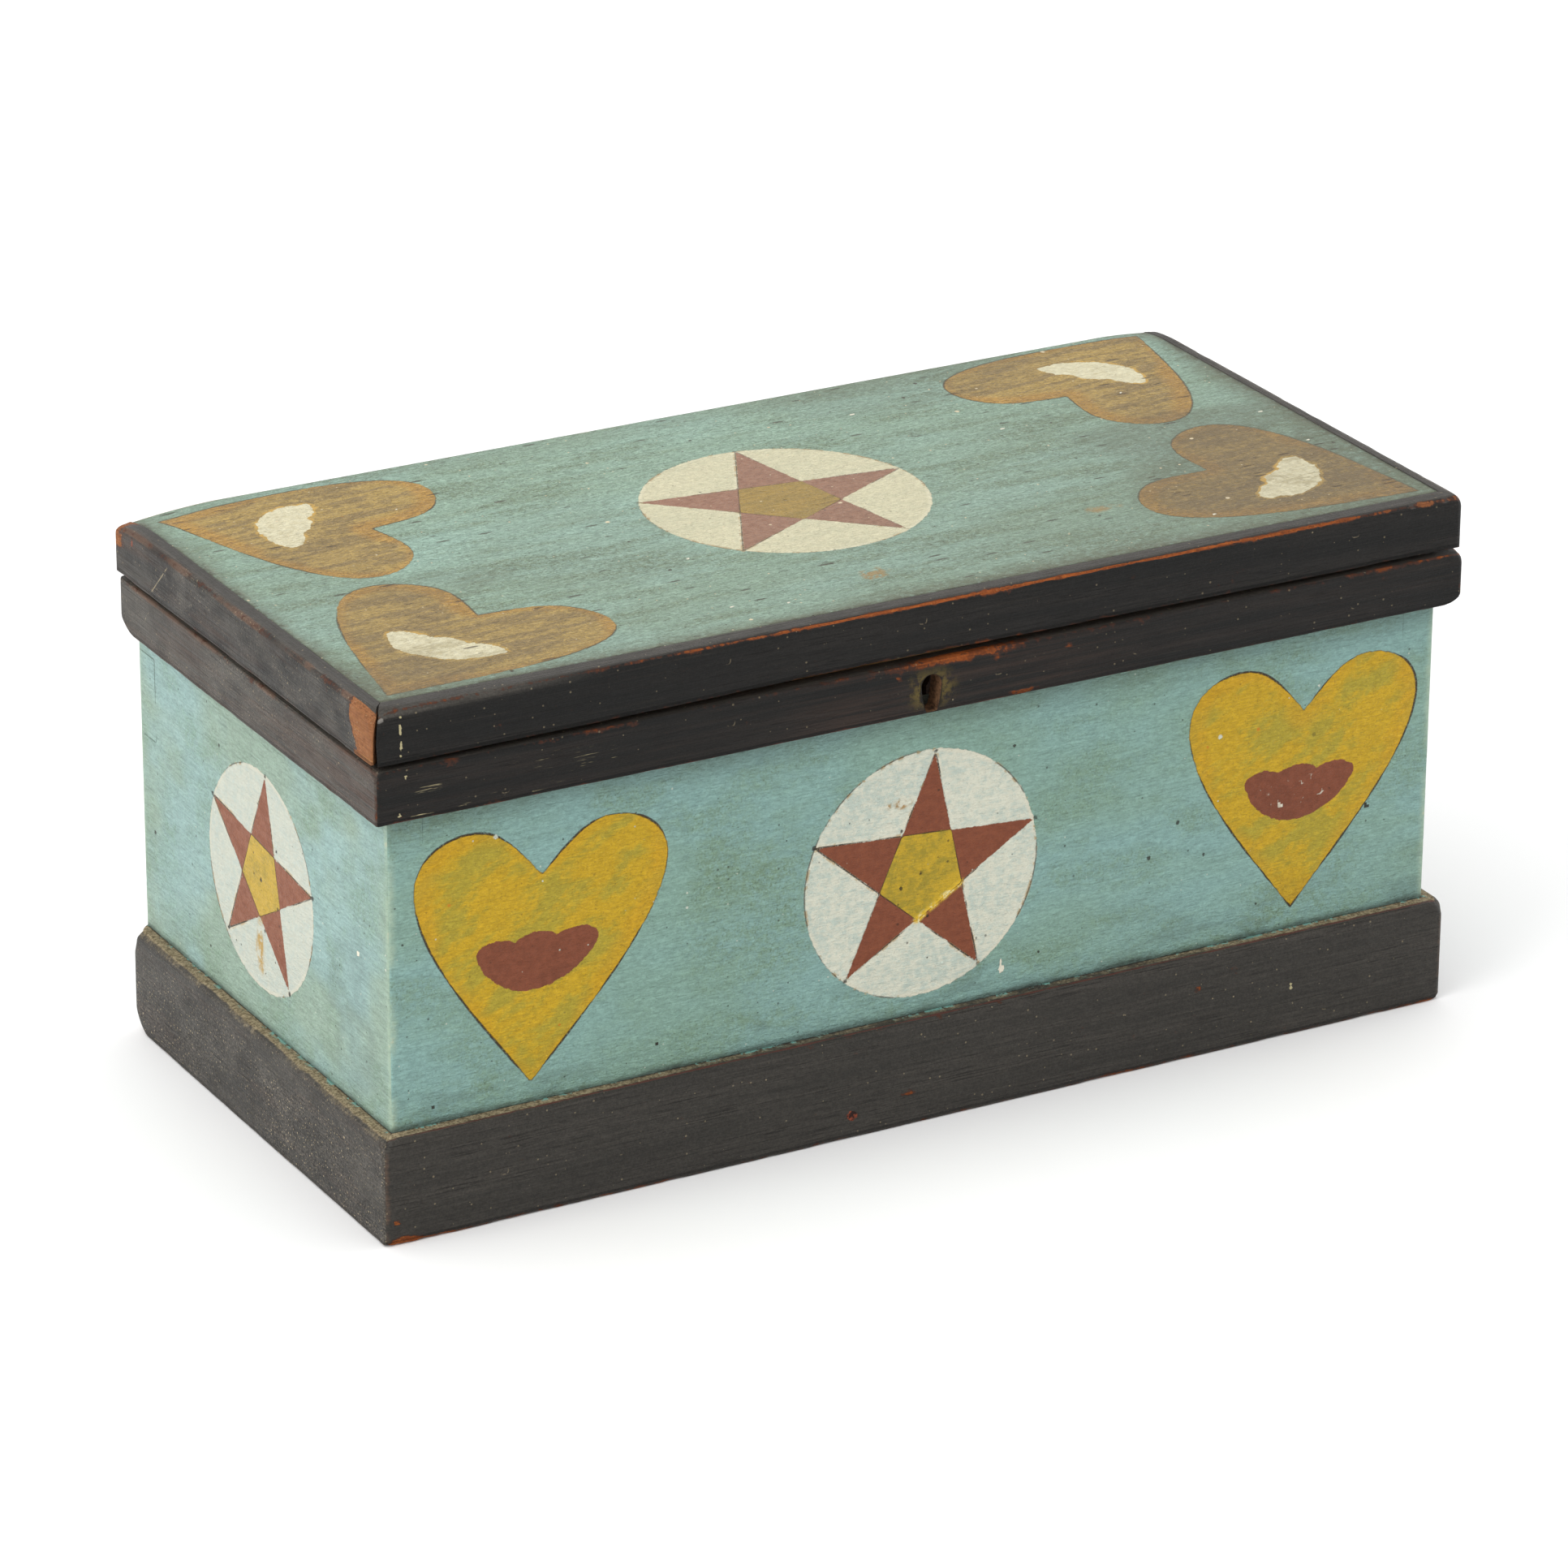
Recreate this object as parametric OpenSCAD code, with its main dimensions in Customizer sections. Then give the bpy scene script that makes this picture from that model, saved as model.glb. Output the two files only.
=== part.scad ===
// Deed box: dovetailed board case with applied edge strips, a hinged lid and a box lock.
// Millimetres. X runs along the length, the front faces -Y, Z is up, the floor is z = 0.

/* [Case] */
// outer length of the board case
case_l = 350; // [330:1:420]
// outer depth of the board case
case_w = 166; // [150:1:210]
// height of the case rim above the floor
rim_z = 147; // [140:1:160]
// thickness of the four case boards
board_t = 11; // [11:0.5:14]
// thickness of the bottom board
bottom_t = 9; // [7:0.5:12]

/* [Corner joints] */
// height of one pin or tail
dovetail_h = 25.5; // [22:0.5:27]
// how far a tail's flank leans over the board's thickness, each way from its middle
dovetail_lean = 0.9; // [0.4:0.1:1.6]

/* [Mouldings] */
// height of the base strips
base_h = 33.3; // [24:0.1:40]
// thickness of the base strips
base_t = 5.1; // [4:0.1:7]
// height of the rim strips
rim_h = 16.2; // [15:0.1:18]
// thickness of the rim strips
rim_t = 6; // [5.6:0.1:8]

/* [Lid] */
// overall height of the closed box
total_h = 165; // [163:0.5:180]
// gap between the case rim and the lid board
lid_gap = 0.3; // [0.2:0.1:0.6]
// how far the lid board stands past each end of the case
lid_side = 0.8; // [0:0.1:2]
// how far the lid board's front edge stands back from the case front
lid_back_set = 1.2; // [0.5:0.1:2]
// how far the lid stands past the back of the case
lid_overhang = 2; // [1.5:0.1:2]
// thickness of the lid's front strip
lid_front_t = 6.4; // [5:0.1:6.6]
// thickness of the lid's end strips
lid_end_t = 5.2; // [4:0.1:6]
// clear seam under the lid strips, above the case rim
seam = 1.6; // [0.8:0.1:2.4]
// how far the lid board's top lies below the top of its strips
lid_drop = 0.4; // [0:0.1:1]

/* [Hinges] */
// distance from the middle of the box to the middle of each hinge
hinge_x = 108; // [80:1:130]
// length of a hinge
hinge_l = 40; // [36:1:50]
// leaf width from the pin's axis
leaf_w = 9.5; // [9:0.1:10]
// leaf thickness
leaf_t = 1.2; // [1:0.1:1.5]
// outer radius of the knuckles
knuckle_r = 2.5; // [2.3:0.1:2.8]
// radius of the hinge pin
pin_r = 1.2; // [1:0.05:1.3]
// radial running clearance of the pin
pin_clear = 0.05; // [0.02:0.01:0.1]
// how far the pin's axis stands behind the case back
axis_off = 0.5; // [0.4:0.1:0.8]

/* [Lock] */
// keyhole position along the front
key_x = -3; // [-20:0.5:20]
// keyhole centre below the rim
key_drop = 7.6; // [7:0.1:8]
// radius of the keyhole's round
key_r = 3.1; // [2.8:0.1:3.3]
// width of the keyhole's slot
key_slot_w = 3.6; // [3:0.1:3.8]
// bolt travel
bolt_travel = 6; // [5:0.1:6.4]

/* [Fasteners] */
// shank radius of the brads
nail_r = 0.8; // [0.6:0.05:1]
// head radius of the brads
nail_head_r = 1.4; // [1.1:0.1:1.8]
// shank radius of the screws
screw_r = 1.1; // [0.9:0.05:1.2]
// head radius of the screws
screw_head_r = 2.2; // [1.8:0.1:2.3]

/* [Hidden] */

$fn = 48;
eps = 0.02;                                     // room left around a shank in its hole
a = case_l / 2;
y_mid = (rim_t - axis_off - knuckle_r) / 2;     // puts the middle of the whole box at y = 0
yf = -case_w / 2 + y_mid;                       // front face of the case
yb = case_w / 2 + y_mid;                        // back face of the case
tails = ceil((rim_z - bottom_t) / dovetail_h);  // pins and tails in one corner
lid_z = rim_z + lid_gap;                        // underside of the lid board
strip_z = rim_z + seam;                         // underside of the lid strips
lx = a + lid_side;                              // lid board, half length
lyf = yf + lid_back_set;                        // lid board, front edge
lyb = yb + lid_overhang;                        // lid board, back edge
ax_y = yb + axis_off;                           // hinge axis
ax_z = rim_z + lid_gap / 2;
key_z = rim_z - key_drop;

// lock
plate_t = 1.5;
plate_hx = 28;                                  // half length of the back plate and the selvage
plate_h = 26;
selvage_w = 9;
yi = yf + board_t;                              // inner face of the front board
cap_hx = 20;
cap_y0 = yi - 8.2;                              // front wall of the cap
cap_y1 = yi - plate_t;
cap_z0 = rim_z - 23;
cap_z1 = rim_z - plate_t;
bolt_y = (cap_y0 + 0.8 + cap_y1) / 2;           // middle of the bolt and the staple
staple_x = key_x + 13;
link_hx = 26;
bolt_z0 = rim_z - 4.9;
bolt_z1 = rim_z - 2.1;

// fastener places
base_front_x = [-158, -90, -27.5, 46, 108, 158];
base_end_y = [-58, 4, 62];
base_nail_z = 6.8;
rim_front_x = [-158, -69, 30, 66, 142];
rim_end_y = [-60, 2, 60];
rim_nail_z = rim_z - rim_h / 2;
lid_front_x = [-144, -70, -6, 70, 142];
lid_end_y = [-62, 0, 64];
lid_nail_z = total_h - 6;
bottom_x = [-140, -60, 20, 90, 146];
bottom_y = [-38, 36];
hinge_screw_x = [-13, 0, 13];
hinge_screw_y = ax_y - 6.1;
lock_screw_p = [[-24.5, -5], [24.5, -5], [-24.5, -21], [24.5, -21]];
link_screw_x = [-20, 20];

teal = [0.44, 0.57, 0.53];
black = [0.15, 0.145, 0.14];
pine = [0.78, 0.62, 0.42];
iron = [0.33, 0.32, 0.31];
brass = [0.66, 0.53, 0.28];

// ---------------------------------------------------------------- shapes

module block(x0, x1, y0, y1, z0, z1) {
    translate([x0, y0, z0]) cube([x1 - x0, y1 - y0, z1 - z0]);
}

module rod_x(y, z, r, x0, x1) {
    translate([x0, y, z]) rotate([0, 90, 0]) cylinder(r = r, h = x1 - x0);
}

module rod_y(x, z, r, y0, y1) {
    translate([x, y0, z]) rotate([-90, 0, 0]) cylinder(r = r, h = y1 - y0);
}

// a brad whose head is flush with z = 0 and whose shank runs along -Z
module brad(len, grow = 0) {
    translate([0, 0, -0.7]) cylinder(r = nail_head_r + grow, h = 0.7);
    translate([0, 0, -len]) cylinder(r = nail_r + grow, h = len - 0.4);
}

// a countersunk screw, flush with z = 0, shank along -Z; its hole has no slot
module screw(len, grow = 0) {
    difference() {
        union() {
            translate([0, 0, -1.2]) cylinder(r1 = screw_r + grow, r2 = screw_head_r + grow, h = 1.2);
            translate([0, 0, -len]) cylinder(r = screw_r + grow, h = len - 1);
        }
        if (grow == 0) translate([-3, -0.3, -0.6]) cube([6, 0.6, 1]);
    }
}

module facing_front(x, y, z) { translate([x, y, z]) rotate([90, 0, 0]) children(); }
module facing_back(x, y, z) { translate([x, y, z]) rotate([-90, 0, 0]) children(); }
module facing_left(x, y, z) { translate([x, y, z]) rotate([0, -90, 0]) children(); }
module facing_right(x, y, z) { translate([x, y, z]) rotate([0, 90, 0]) children(); }
module facing_down(x, y, z) { translate([x, y, z]) rotate([180, 0, 0]) children(); }

// ---------------------------------------------------------------- fastener sets

module base_brads(grow = 0) {
    for (x = base_front_x) facing_front(x, yf - base_t, base_nail_z) brad(14, grow);
    for (y = base_end_y) {
        facing_left(-a - base_t, y, base_nail_z) brad(14, grow);
        facing_right(a + base_t, y, base_nail_z) brad(14, grow);
    }
}

module rim_brads(grow = 0) {
    for (x = rim_front_x) facing_front(x, yf - rim_t, rim_nail_z) brad(14, grow);
    for (y = rim_end_y) {
        facing_left(-a - rim_t, y, rim_nail_z) brad(14, grow);
        facing_right(a + rim_t, y, rim_nail_z) brad(14, grow);
    }
}

module lid_brads(grow = 0) {
    for (x = lid_front_x) facing_front(x, lyf - lid_front_t, lid_nail_z) brad(18, grow);
    for (y = lid_end_y) {
        facing_left(-lx - lid_end_t, y, lid_nail_z) brad(18, grow);
        facing_right(lx + lid_end_t, y, lid_nail_z) brad(18, grow);
    }
}

module bottom_brads(grow = 0) {
    for (x = bottom_x) {
        facing_down(x, yf + board_t / 2, 0) brad(26, grow);
        facing_down(x, yb - board_t / 2, 0) brad(26, grow);
    }
    for (y = bottom_y) {
        facing_down(-a + board_t / 2, y, 0) brad(26, grow);
        facing_down(a - board_t / 2, y, 0) brad(26, grow);
    }
}

module case_leaf_screws(grow = 0) {
    for (s = [-1, 1], x = hinge_screw_x)
        translate([s * hinge_x + x, hinge_screw_y, rim_z]) screw(11, grow);
}

module lid_leaf_screws(grow = 0) {
    for (s = [-1, 1], x = hinge_screw_x)
        facing_down(s * hinge_x + x, hinge_screw_y, lid_z) screw(11, grow);
}

module plate_screws(grow = 0) {
    for (p = lock_screw_p) facing_back(key_x + p[0], yi, rim_z + p[1]) screw(7, grow);
}

module link_screws(grow = 0) {
    for (x = link_screw_x) facing_down(key_x + x, bolt_y, lid_z) screw(10, grow);
}

// ---------------------------------------------------------------- case boards

// height of the k-th joint line, counted down from the rim
function joint_z(k) = max(bottom_t, rim_z - k * dovetail_h);

// outline of one tail on the right-hand end, from its upper flank to its lower one
function tail(k) = concat(
    [[a - board_t, joint_z(k) - dovetail_lean], [a, joint_z(k) + dovetail_lean]],
    joint_z(k + 1) > bottom_t
        ? [[a, joint_z(k + 1) - dovetail_lean], [a - board_t, joint_z(k + 1) + dovetail_lean]]
        : [[a, bottom_t]]);

function right_edge() = concat(
    [[a - board_t, rim_z]],
    [for (k = [1 : 2 : tails - 1]) each tail(k)],
    tails % 2 == 1 ? [[a - board_t, bottom_t]] : []);

function left_edge() = let (p = right_edge()) [for (i = [len(p) - 1 : -1 : 0]) [-p[i][0], p[i][1]]];

// a tail board without its cut-outs, between y0 and y0 + board_t
module tail_board(y0) {
    translate([0, y0 + board_t, 0]) rotate([90, 0, 0])
        linear_extrude(height = board_t) polygon(concat(right_edge(), left_edge()));
}

module pin_board(x0) {
    difference() {
        block(x0, x0 + board_t, yf, yb, bottom_t, rim_z);
        tail_board(yf);
        tail_board(yb - board_t);
    }
}

// round with a slot below it that ends at z_low
module keyhole(r, w, y0, y1, z_low) {
    rod_y(key_x, key_z, r, y0, y1);
    block(key_x - w / 2, key_x + w / 2, y0, y1, z_low, key_z);
}

module front_board() {
    color(teal) difference() {
        tail_board(yf);
        keyhole(key_r, key_slot_w, yf - 1, yf + board_t + 1, rim_z - rim_h + 2.4);
        // mortise for the lock, with recesses for its plate and selvage
        block(key_x - cap_hx - 0.3, key_x + cap_hx + 0.3, cap_y0 - 0.3, yi + 1, cap_z0 - 0.3, rim_z + 1);
        block(key_x - plate_hx, key_x + plate_hx, yi - plate_t, yi + 1, rim_z - plate_h, rim_z + 1);
        block(key_x - plate_hx, key_x + plate_hx, yi - selvage_w, yi + 1, rim_z - plate_t, rim_z + 1);
        base_brads(eps);
        rim_brads(eps);
        bottom_brads(eps);
        plate_screws(eps);
    }
}

module back_board() {
    color(teal) difference() {
        tail_board(yb - board_t);
        for (s = [-1, 1]) hinge_gain(s * hinge_x);
        bottom_brads(eps);
        case_leaf_screws(eps);
    }
}

module left_end_board() {
    color(teal) difference() {
        pin_board(-a);
        base_brads(eps);
        rim_brads(eps);
        bottom_brads(eps);
    }
}

module right_end_board() {
    color(teal) difference() {
        pin_board(a - board_t);
        base_brads(eps);
        rim_brads(eps);
        bottom_brads(eps);
    }
}

module bottom_board() {
    color(pine) difference() {
        block(-a, a, yf, yb, 0, bottom_t);
        base_brads(eps);
        bottom_brads(eps);
    }
}

// ---------------------------------------------------------------- mouldings

// front strip mitred at both ends, between its inner and outer corners
module front_strip(xi, y_in, xo, y_out, z0, z1) {
    translate([0, 0, z0]) linear_extrude(height = z1 - z0)
        polygon([[-xo, y_out], [xo, y_out], [xi, y_in], [-xi, y_in]]);
}

// end strip mitred at the front, square at the back, on the side s
module end_strip(s, xi, y_in, xo, y_out, y_back, z0, z1) {
    translate([0, 0, z0]) linear_extrude(height = z1 - z0)
        polygon([[s * xo, y_out], [s * xi, y_in], [s * xi, y_back], [s * xo, y_back]]);
}

module base_moulding_front() {
    color(black) difference() {
        front_strip(a, yf, a + base_t, yf - base_t, 0, base_h);
        base_brads(eps);
    }
}

module base_end(s) {
    color(black) difference() {
        end_strip(s, a, yf, a + base_t, yf - base_t, yb, 0, base_h);
        base_brads(eps);
    }
}
module base_moulding_left() { base_end(-1); }
module base_moulding_right() { base_end(1); }

module rim_moulding_front() {
    color(black) difference() {
        front_strip(a, yf, a + rim_t, yf - rim_t, rim_z - rim_h, rim_z);
        keyhole(key_r, key_slot_w, yf - rim_t - 1, yf + 1, rim_z - rim_h - 1);
        rim_brads(eps);
    }
}

module rim_end(s) {
    color(black) difference() {
        end_strip(s, a, yf, a + rim_t, yf - rim_t, yb, rim_z - rim_h, rim_z);
        rim_brads(eps);
    }
}
module rim_moulding_left() { rim_end(-1); }
module rim_moulding_right() { rim_end(1); }

module base_moulding_nails() { color(iron) base_brads(); }
module rim_moulding_nails() { color(iron) rim_brads(); }
module bottom_board_nails() { color(iron) bottom_brads(); }

// ---------------------------------------------------------------- lid

module lid_board() {
    color(teal) difference() {
        block(-lx, lx, lyf, lyb, lid_z, total_h - lid_drop);
        for (s = [-1, 1]) lid_gain(s * hinge_x);
        block(key_x - link_hx, key_x + link_hx, bolt_y - 3.6, bolt_y + 3.6, lid_z - 1, lid_z + plate_t);
        lid_brads(eps);
        lid_leaf_screws(eps);
        link_screws(eps);
    }
}

module lid_moulding_front() {
    color(black) difference() {
        front_strip(lx, lyf, lx + lid_end_t, lyf - lid_front_t, strip_z, total_h);
        lid_brads(eps);
    }
}

module lid_end(s) {
    color(black) difference() {
        end_strip(s, lx, lyf, lx + lid_end_t, lyf - lid_front_t, lyb, strip_z, total_h);
        lid_brads(eps);
    }
}
module lid_moulding_left() { lid_end(-1); }
module lid_moulding_right() { lid_end(1); }

module lid_moulding_nails() { color(iron) lid_brads(); }

// ---------------------------------------------------------------- hinges

// half the middle knuckle's length
mk = hinge_l / 6;

// recess in the back board for a leaf and its knuckles
module hinge_gain(x) {
    block(x - hinge_l / 2, x + hinge_l / 2, ax_y - leaf_w, yb + 1, rim_z - leaf_t, rim_z + 1);
    block(x - hinge_l / 2 - 1.2, x + hinge_l / 2 + 1.2, ax_y - knuckle_r - 0.3, yb + 1,
        ax_z - knuckle_r - 0.3, rim_z + 1);
}

// recess in the lid board for a leaf and its knuckles
module lid_gain(x) {
    block(x - hinge_l / 2, x + hinge_l / 2, ax_y - leaf_w, lyb + 1, lid_z - 1, lid_z + leaf_t);
    block(x - hinge_l / 2 - 1.2, x + hinge_l / 2 + 1.2, ax_y - knuckle_r - 0.3, lyb + 1,
        lid_z - 1, ax_z + knuckle_r + 0.3);
}

module case_leaf(x) {
    color(iron) difference() {
        union() {
            block(x - hinge_l / 2, x + hinge_l / 2, ax_y - leaf_w, ax_y, rim_z - leaf_t, rim_z);
            rod_x(ax_y, ax_z, knuckle_r, x - hinge_l / 2, x - mk - 0.15);
            rod_x(ax_y, ax_z, knuckle_r, x + mk + 0.15, x + hinge_l / 2);
        }
        rod_x(ax_y, ax_z, knuckle_r + 0.35, x - mk - 0.15, x + mk + 0.15);
        rod_x(ax_y, ax_z, pin_r + pin_clear, x - hinge_l, x + hinge_l);
        case_leaf_screws(eps);
    }
}

module lid_leaf(x) {
    color(iron) difference() {
        union() {
            difference() {
                block(x - hinge_l / 2, x + hinge_l / 2, ax_y - leaf_w, ax_y, lid_z, lid_z + leaf_t);
                rod_x(ax_y, ax_z, knuckle_r + 0.35, x - hinge_l, x - mk + 0.15);
                rod_x(ax_y, ax_z, knuckle_r + 0.35, x + mk - 0.15, x + hinge_l);
            }
            rod_x(ax_y, ax_z, knuckle_r, x - mk + 0.15, x + mk - 0.15);
        }
        rod_x(ax_y, ax_z, pin_r + pin_clear, x - hinge_l, x + hinge_l);
        lid_leaf_screws(eps);
    }
}

// pin with a peened head at each end
module hinge_pin(x) {
    color(iron) {
        rod_x(ax_y, ax_z, pin_r, x - hinge_l / 2 - 0.4, x + hinge_l / 2 + 0.4);
        for (s = [0, 1]) mirror([s, 0, 0])
            rod_x(ax_y, ax_z, pin_r + 0.5, (s == 1 ? -x : x) + hinge_l / 2 + 0.02, (s == 1 ? -x : x) + hinge_l / 2 + 0.7);
    }
}

module left_hinge_case_leaf() { case_leaf(-hinge_x); }
module left_hinge_lid_leaf() { lid_leaf(-hinge_x); }
module left_hinge_pin() { hinge_pin(-hinge_x); }
module right_hinge_case_leaf() { case_leaf(hinge_x); }
module right_hinge_lid_leaf() { lid_leaf(hinge_x); }
module right_hinge_pin() { hinge_pin(hinge_x); }
module hinge_case_screws() { color(iron) case_leaf_screws(); }
module hinge_lid_screws() { color(iron) lid_leaf_screws(); }

// ---------------------------------------------------------------- lock

// back plate on the inner face, bent over at the top into the selvage, with the staple's slot
module lock_plate() {
    color(brass) difference() {
        union() {
            block(key_x - plate_hx, key_x + plate_hx, yi - plate_t, yi, rim_z - plate_h, rim_z);
            block(key_x - plate_hx, key_x + plate_hx, yi - selvage_w, yi, rim_z - plate_t, rim_z);
        }
        block(staple_x - 2.1, staple_x + 2.1, bolt_y - 2.9, bolt_y + 2.9, rim_z - plate_t - 1, rim_z + 1);
        plate_screws(eps);
    }
}

// shallow tray that covers the works, with its own keyhole
module lock_cap() {
    color(iron) difference() {
        block(key_x - cap_hx, key_x + cap_hx, cap_y0, cap_y1, cap_z0, cap_z1);
        block(key_x - cap_hx + 0.8, key_x + cap_hx - 0.8, cap_y0 + 0.8, cap_y1 + 1, cap_z0 + 0.8, cap_z1 + 1);
        keyhole(key_r + 0.3, key_slot_w + 0.4, cap_y0 - 1, cap_y0 + 0.85, rim_z - rim_h + 2.4);
    }
}

// sliding bar with the key's notch below, a slot for its guide stud and a tail for the spring
module lock_bolt() {
    color(brass) difference() {
        union() {
            block(key_x - 14, staple_x - 2.3, bolt_y - 1, bolt_y + 1, bolt_z0, bolt_z1);
            block(key_x - 14, key_x - 8.5, bolt_y - 1, bolt_y + 1, rim_z - 10, bolt_z0 + 0.5);
        }
        block(key_x - 2, key_x + 2, bolt_y - 2, bolt_y + 2, bolt_z0 - 1, bolt_z0 + 1.1);
        block(key_x - 7 - bolt_travel, key_x - 5, bolt_y - 2, bolt_y + 2, bolt_z0 + 0.65, bolt_z1 - 0.65);
    }
}

// bent strip that bears up under the bolt's tail
module lock_bolt_spring() {
    color(iron) translate([0, bolt_y + 0.9, 0]) rotate([90, 0, 0]) linear_extrude(height = 1.8)
        polygon([[key_x - 18.9, rim_z - 21], [key_x - 18.5, rim_z - 21], [key_x - 16.3, rim_z - 10.9],
            [key_x - 7, rim_z - 10.7], [key_x - 7, rim_z - 10.3], [key_x - 16.6, rim_z - 10.5]]);
}

// guide stud in the bolt's slot, and the two riveted pillars between the plate and the cap
module lock_studs() {
    color(iron) {
        rod_y(key_x - 6.2, (bolt_z0 + bolt_z1) / 2, 0.6, cap_y0 + 0.8, cap_y1);
        for (s = [-1, 1]) rod_y(key_x + s * 16, cap_z0 + 4, 1, cap_y0 + 0.8, cap_y1);
    }
}

module lock_screws() { color(iron) plate_screws(); }

// plate let into the lid's underside, slotted for the staple's two tangs
module link_plate() {
    color(brass) difference() {
        block(key_x - link_hx, key_x + link_hx, bolt_y - 3.6, bolt_y + 3.6, lid_z, lid_z + plate_t);
        for (s = [-1, 1]) staple_leg(s, lid_z - 1, lid_z + plate_t + 1, eps);
        link_screws(eps);
    }
}

module staple_leg(s, z0, z1, grow = 0) {
    y = bolt_y + s * 1.85;
    block(staple_x - 1.5 - grow, staple_x + 1.5 + grow, y - 0.55 - grow, y + 0.55 + grow, z0, z1);
}

// loop that hangs from the link plate into the lock, for the bolt to pass through
module lock_staple() {
    color(brass) {
        for (s = [-1, 1]) staple_leg(s, bolt_z0 - 1.5, lid_z + plate_t);
        block(staple_x - 1.5, staple_x + 1.5, bolt_y - 2.4, bolt_y + 2.4, bolt_z0 - 1.5, bolt_z0 - 0.4);
    }
}

module link_plate_screws() { color(iron) link_screws(); }

// ---------------------------------------------------------------- assembly

front_board();
back_board();
left_end_board();
right_end_board();
bottom_board();
base_moulding_front();
base_moulding_left();
base_moulding_right();
rim_moulding_front();
rim_moulding_left();
rim_moulding_right();
base_moulding_nails();
rim_moulding_nails();
bottom_board_nails();
lid_board();
lid_moulding_front();
lid_moulding_left();
lid_moulding_right();
lid_moulding_nails();
left_hinge_case_leaf();
left_hinge_lid_leaf();
left_hinge_pin();
right_hinge_case_leaf();
right_hinge_lid_leaf();
right_hinge_pin();
hinge_case_screws();
hinge_lid_screws();
lock_plate();
lock_cap();
lock_bolt();
lock_bolt_spring();
lock_studs();
lock_screws();
link_plate();
lock_staple();
link_plate_screws();
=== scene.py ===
import math

import bmesh
import bpy
import numpy as np
from mathutils import Matrix


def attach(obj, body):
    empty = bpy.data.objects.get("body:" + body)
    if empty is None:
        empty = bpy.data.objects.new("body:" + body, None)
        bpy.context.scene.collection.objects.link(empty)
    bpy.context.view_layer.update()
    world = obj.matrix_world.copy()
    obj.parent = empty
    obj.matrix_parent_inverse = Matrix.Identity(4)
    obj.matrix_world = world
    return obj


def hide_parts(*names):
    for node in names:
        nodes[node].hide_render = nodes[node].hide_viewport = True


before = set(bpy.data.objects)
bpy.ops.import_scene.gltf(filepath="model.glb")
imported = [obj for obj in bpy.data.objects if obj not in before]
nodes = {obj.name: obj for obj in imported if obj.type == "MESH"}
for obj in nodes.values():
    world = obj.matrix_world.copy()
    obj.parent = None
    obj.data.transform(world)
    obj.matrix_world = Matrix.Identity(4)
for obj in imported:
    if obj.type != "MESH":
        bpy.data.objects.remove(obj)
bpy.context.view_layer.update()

# ------------------------------------------------------------------ sizes, in millimetres, as in the CAD
A = 175.0                       # case, half length
YF, YB = -81.5, 84.5            # case, front and back faces
BASE_H, BASE_T = 33.3, 5.1
RIM_Z, RIM_H, RIM_T = 147.0, 16.2, 6.0
TOP, STRIP_Z, LID_FACE = 165.0, 148.6, 164.6
LX, LYF, LYB = 175.8, -80.3, 86.5
LFT, LET = 6.4, 5.2
KEY_X, KEY_Z = -3.0, 139.4
PAINT = 0.38                    # how far a painted case face stands off its board
LID_PAINT = 0.25


# ------------------------------------------------------------------ number noise
def lattice(ix, iy, seed):
    n = (ix.astype(np.int64) * 374761393 + iy.astype(np.int64) * 668265263 + seed * 974634777) & 0xFFFFFFFF
    n = ((n ^ (n >> 13)) * 1274126177) & 0xFFFFFFFF
    n = n ^ (n >> 16)
    return (n & 0xFFFF) / 65535.0


def vnoise(x, y=0.0, seed=0):
    x, y = np.broadcast_arrays(np.asarray(x, float), np.asarray(y, float))
    ix, iy = np.floor(x), np.floor(y)
    fx, fy = x - ix, y - iy
    fx, fy = fx * fx * (3 - 2 * fx), fy * fy * (3 - 2 * fy)
    a, b = lattice(ix, iy, seed), lattice(ix + 1, iy, seed)
    c, d = lattice(ix, iy + 1, seed), lattice(ix + 1, iy + 1, seed)
    return (a * (1 - fx) + b * fx) * (1 - fy) + (c * (1 - fx) + d * fx) * fy


def fbm(x, y=0.0, seed=0, octaves=4, gain=0.5):
    total, amp, norm = 0.0, 1.0, 0.0
    for k in range(octaves):
        total = total + amp * vnoise(np.asarray(x, float) * 2 ** k, np.asarray(y, float) * 2 ** k, seed + 17 * k)
        norm += amp
        amp *= gain
    return total / norm


def smooth(e0, e1, x):
    t = np.clip((x - e0) / (e1 - e0), 0, 1)
    return t * t * (3 - 2 * t)


def lin(r, g, b):
    """A colour given on a 0-255 screen scale, as linear RGBA."""
    def f(c):
        c /= 255.0
        return c / 12.92 if c <= 0.04045 else ((c + 0.055) / 1.055) ** 2.4
    return (f(r), f(g), f(b), 1.0)


# ------------------------------------------------------------------ ornament outlines
def bezier(p0, p1, p2, p3, n=18):
    t = np.linspace(0, 1, n, endpoint=False)[:, None]
    p0, p1, p2, p3 = map(np.asarray, (p0, p1, p2, p3))
    return (1 - t) ** 3 * p0 + 3 * (1 - t) ** 2 * t * p1 + 3 * (1 - t) * t * t * p2 + t ** 3 * p3


def heart_outline():
    """Tip at the origin, axis along +v, 81 wide and 79 tall."""
    right = np.vstack([
        bezier((0, 0), (15, 18.5), (40.5, 45), (40.5, 64.5), 30),
        bezier((40.5, 64.5), (40.5, 73.5), (32.5, 79.5), (22.5, 79.5), 16),
        bezier((22.5, 79.5), (13, 79.5), (7, 71.5), (0, 64), 16),
    ])
    left = right[::-1] * (-1, 1)
    return np.vstack([right, [(0, 64.0)], left[:-1]])


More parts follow.
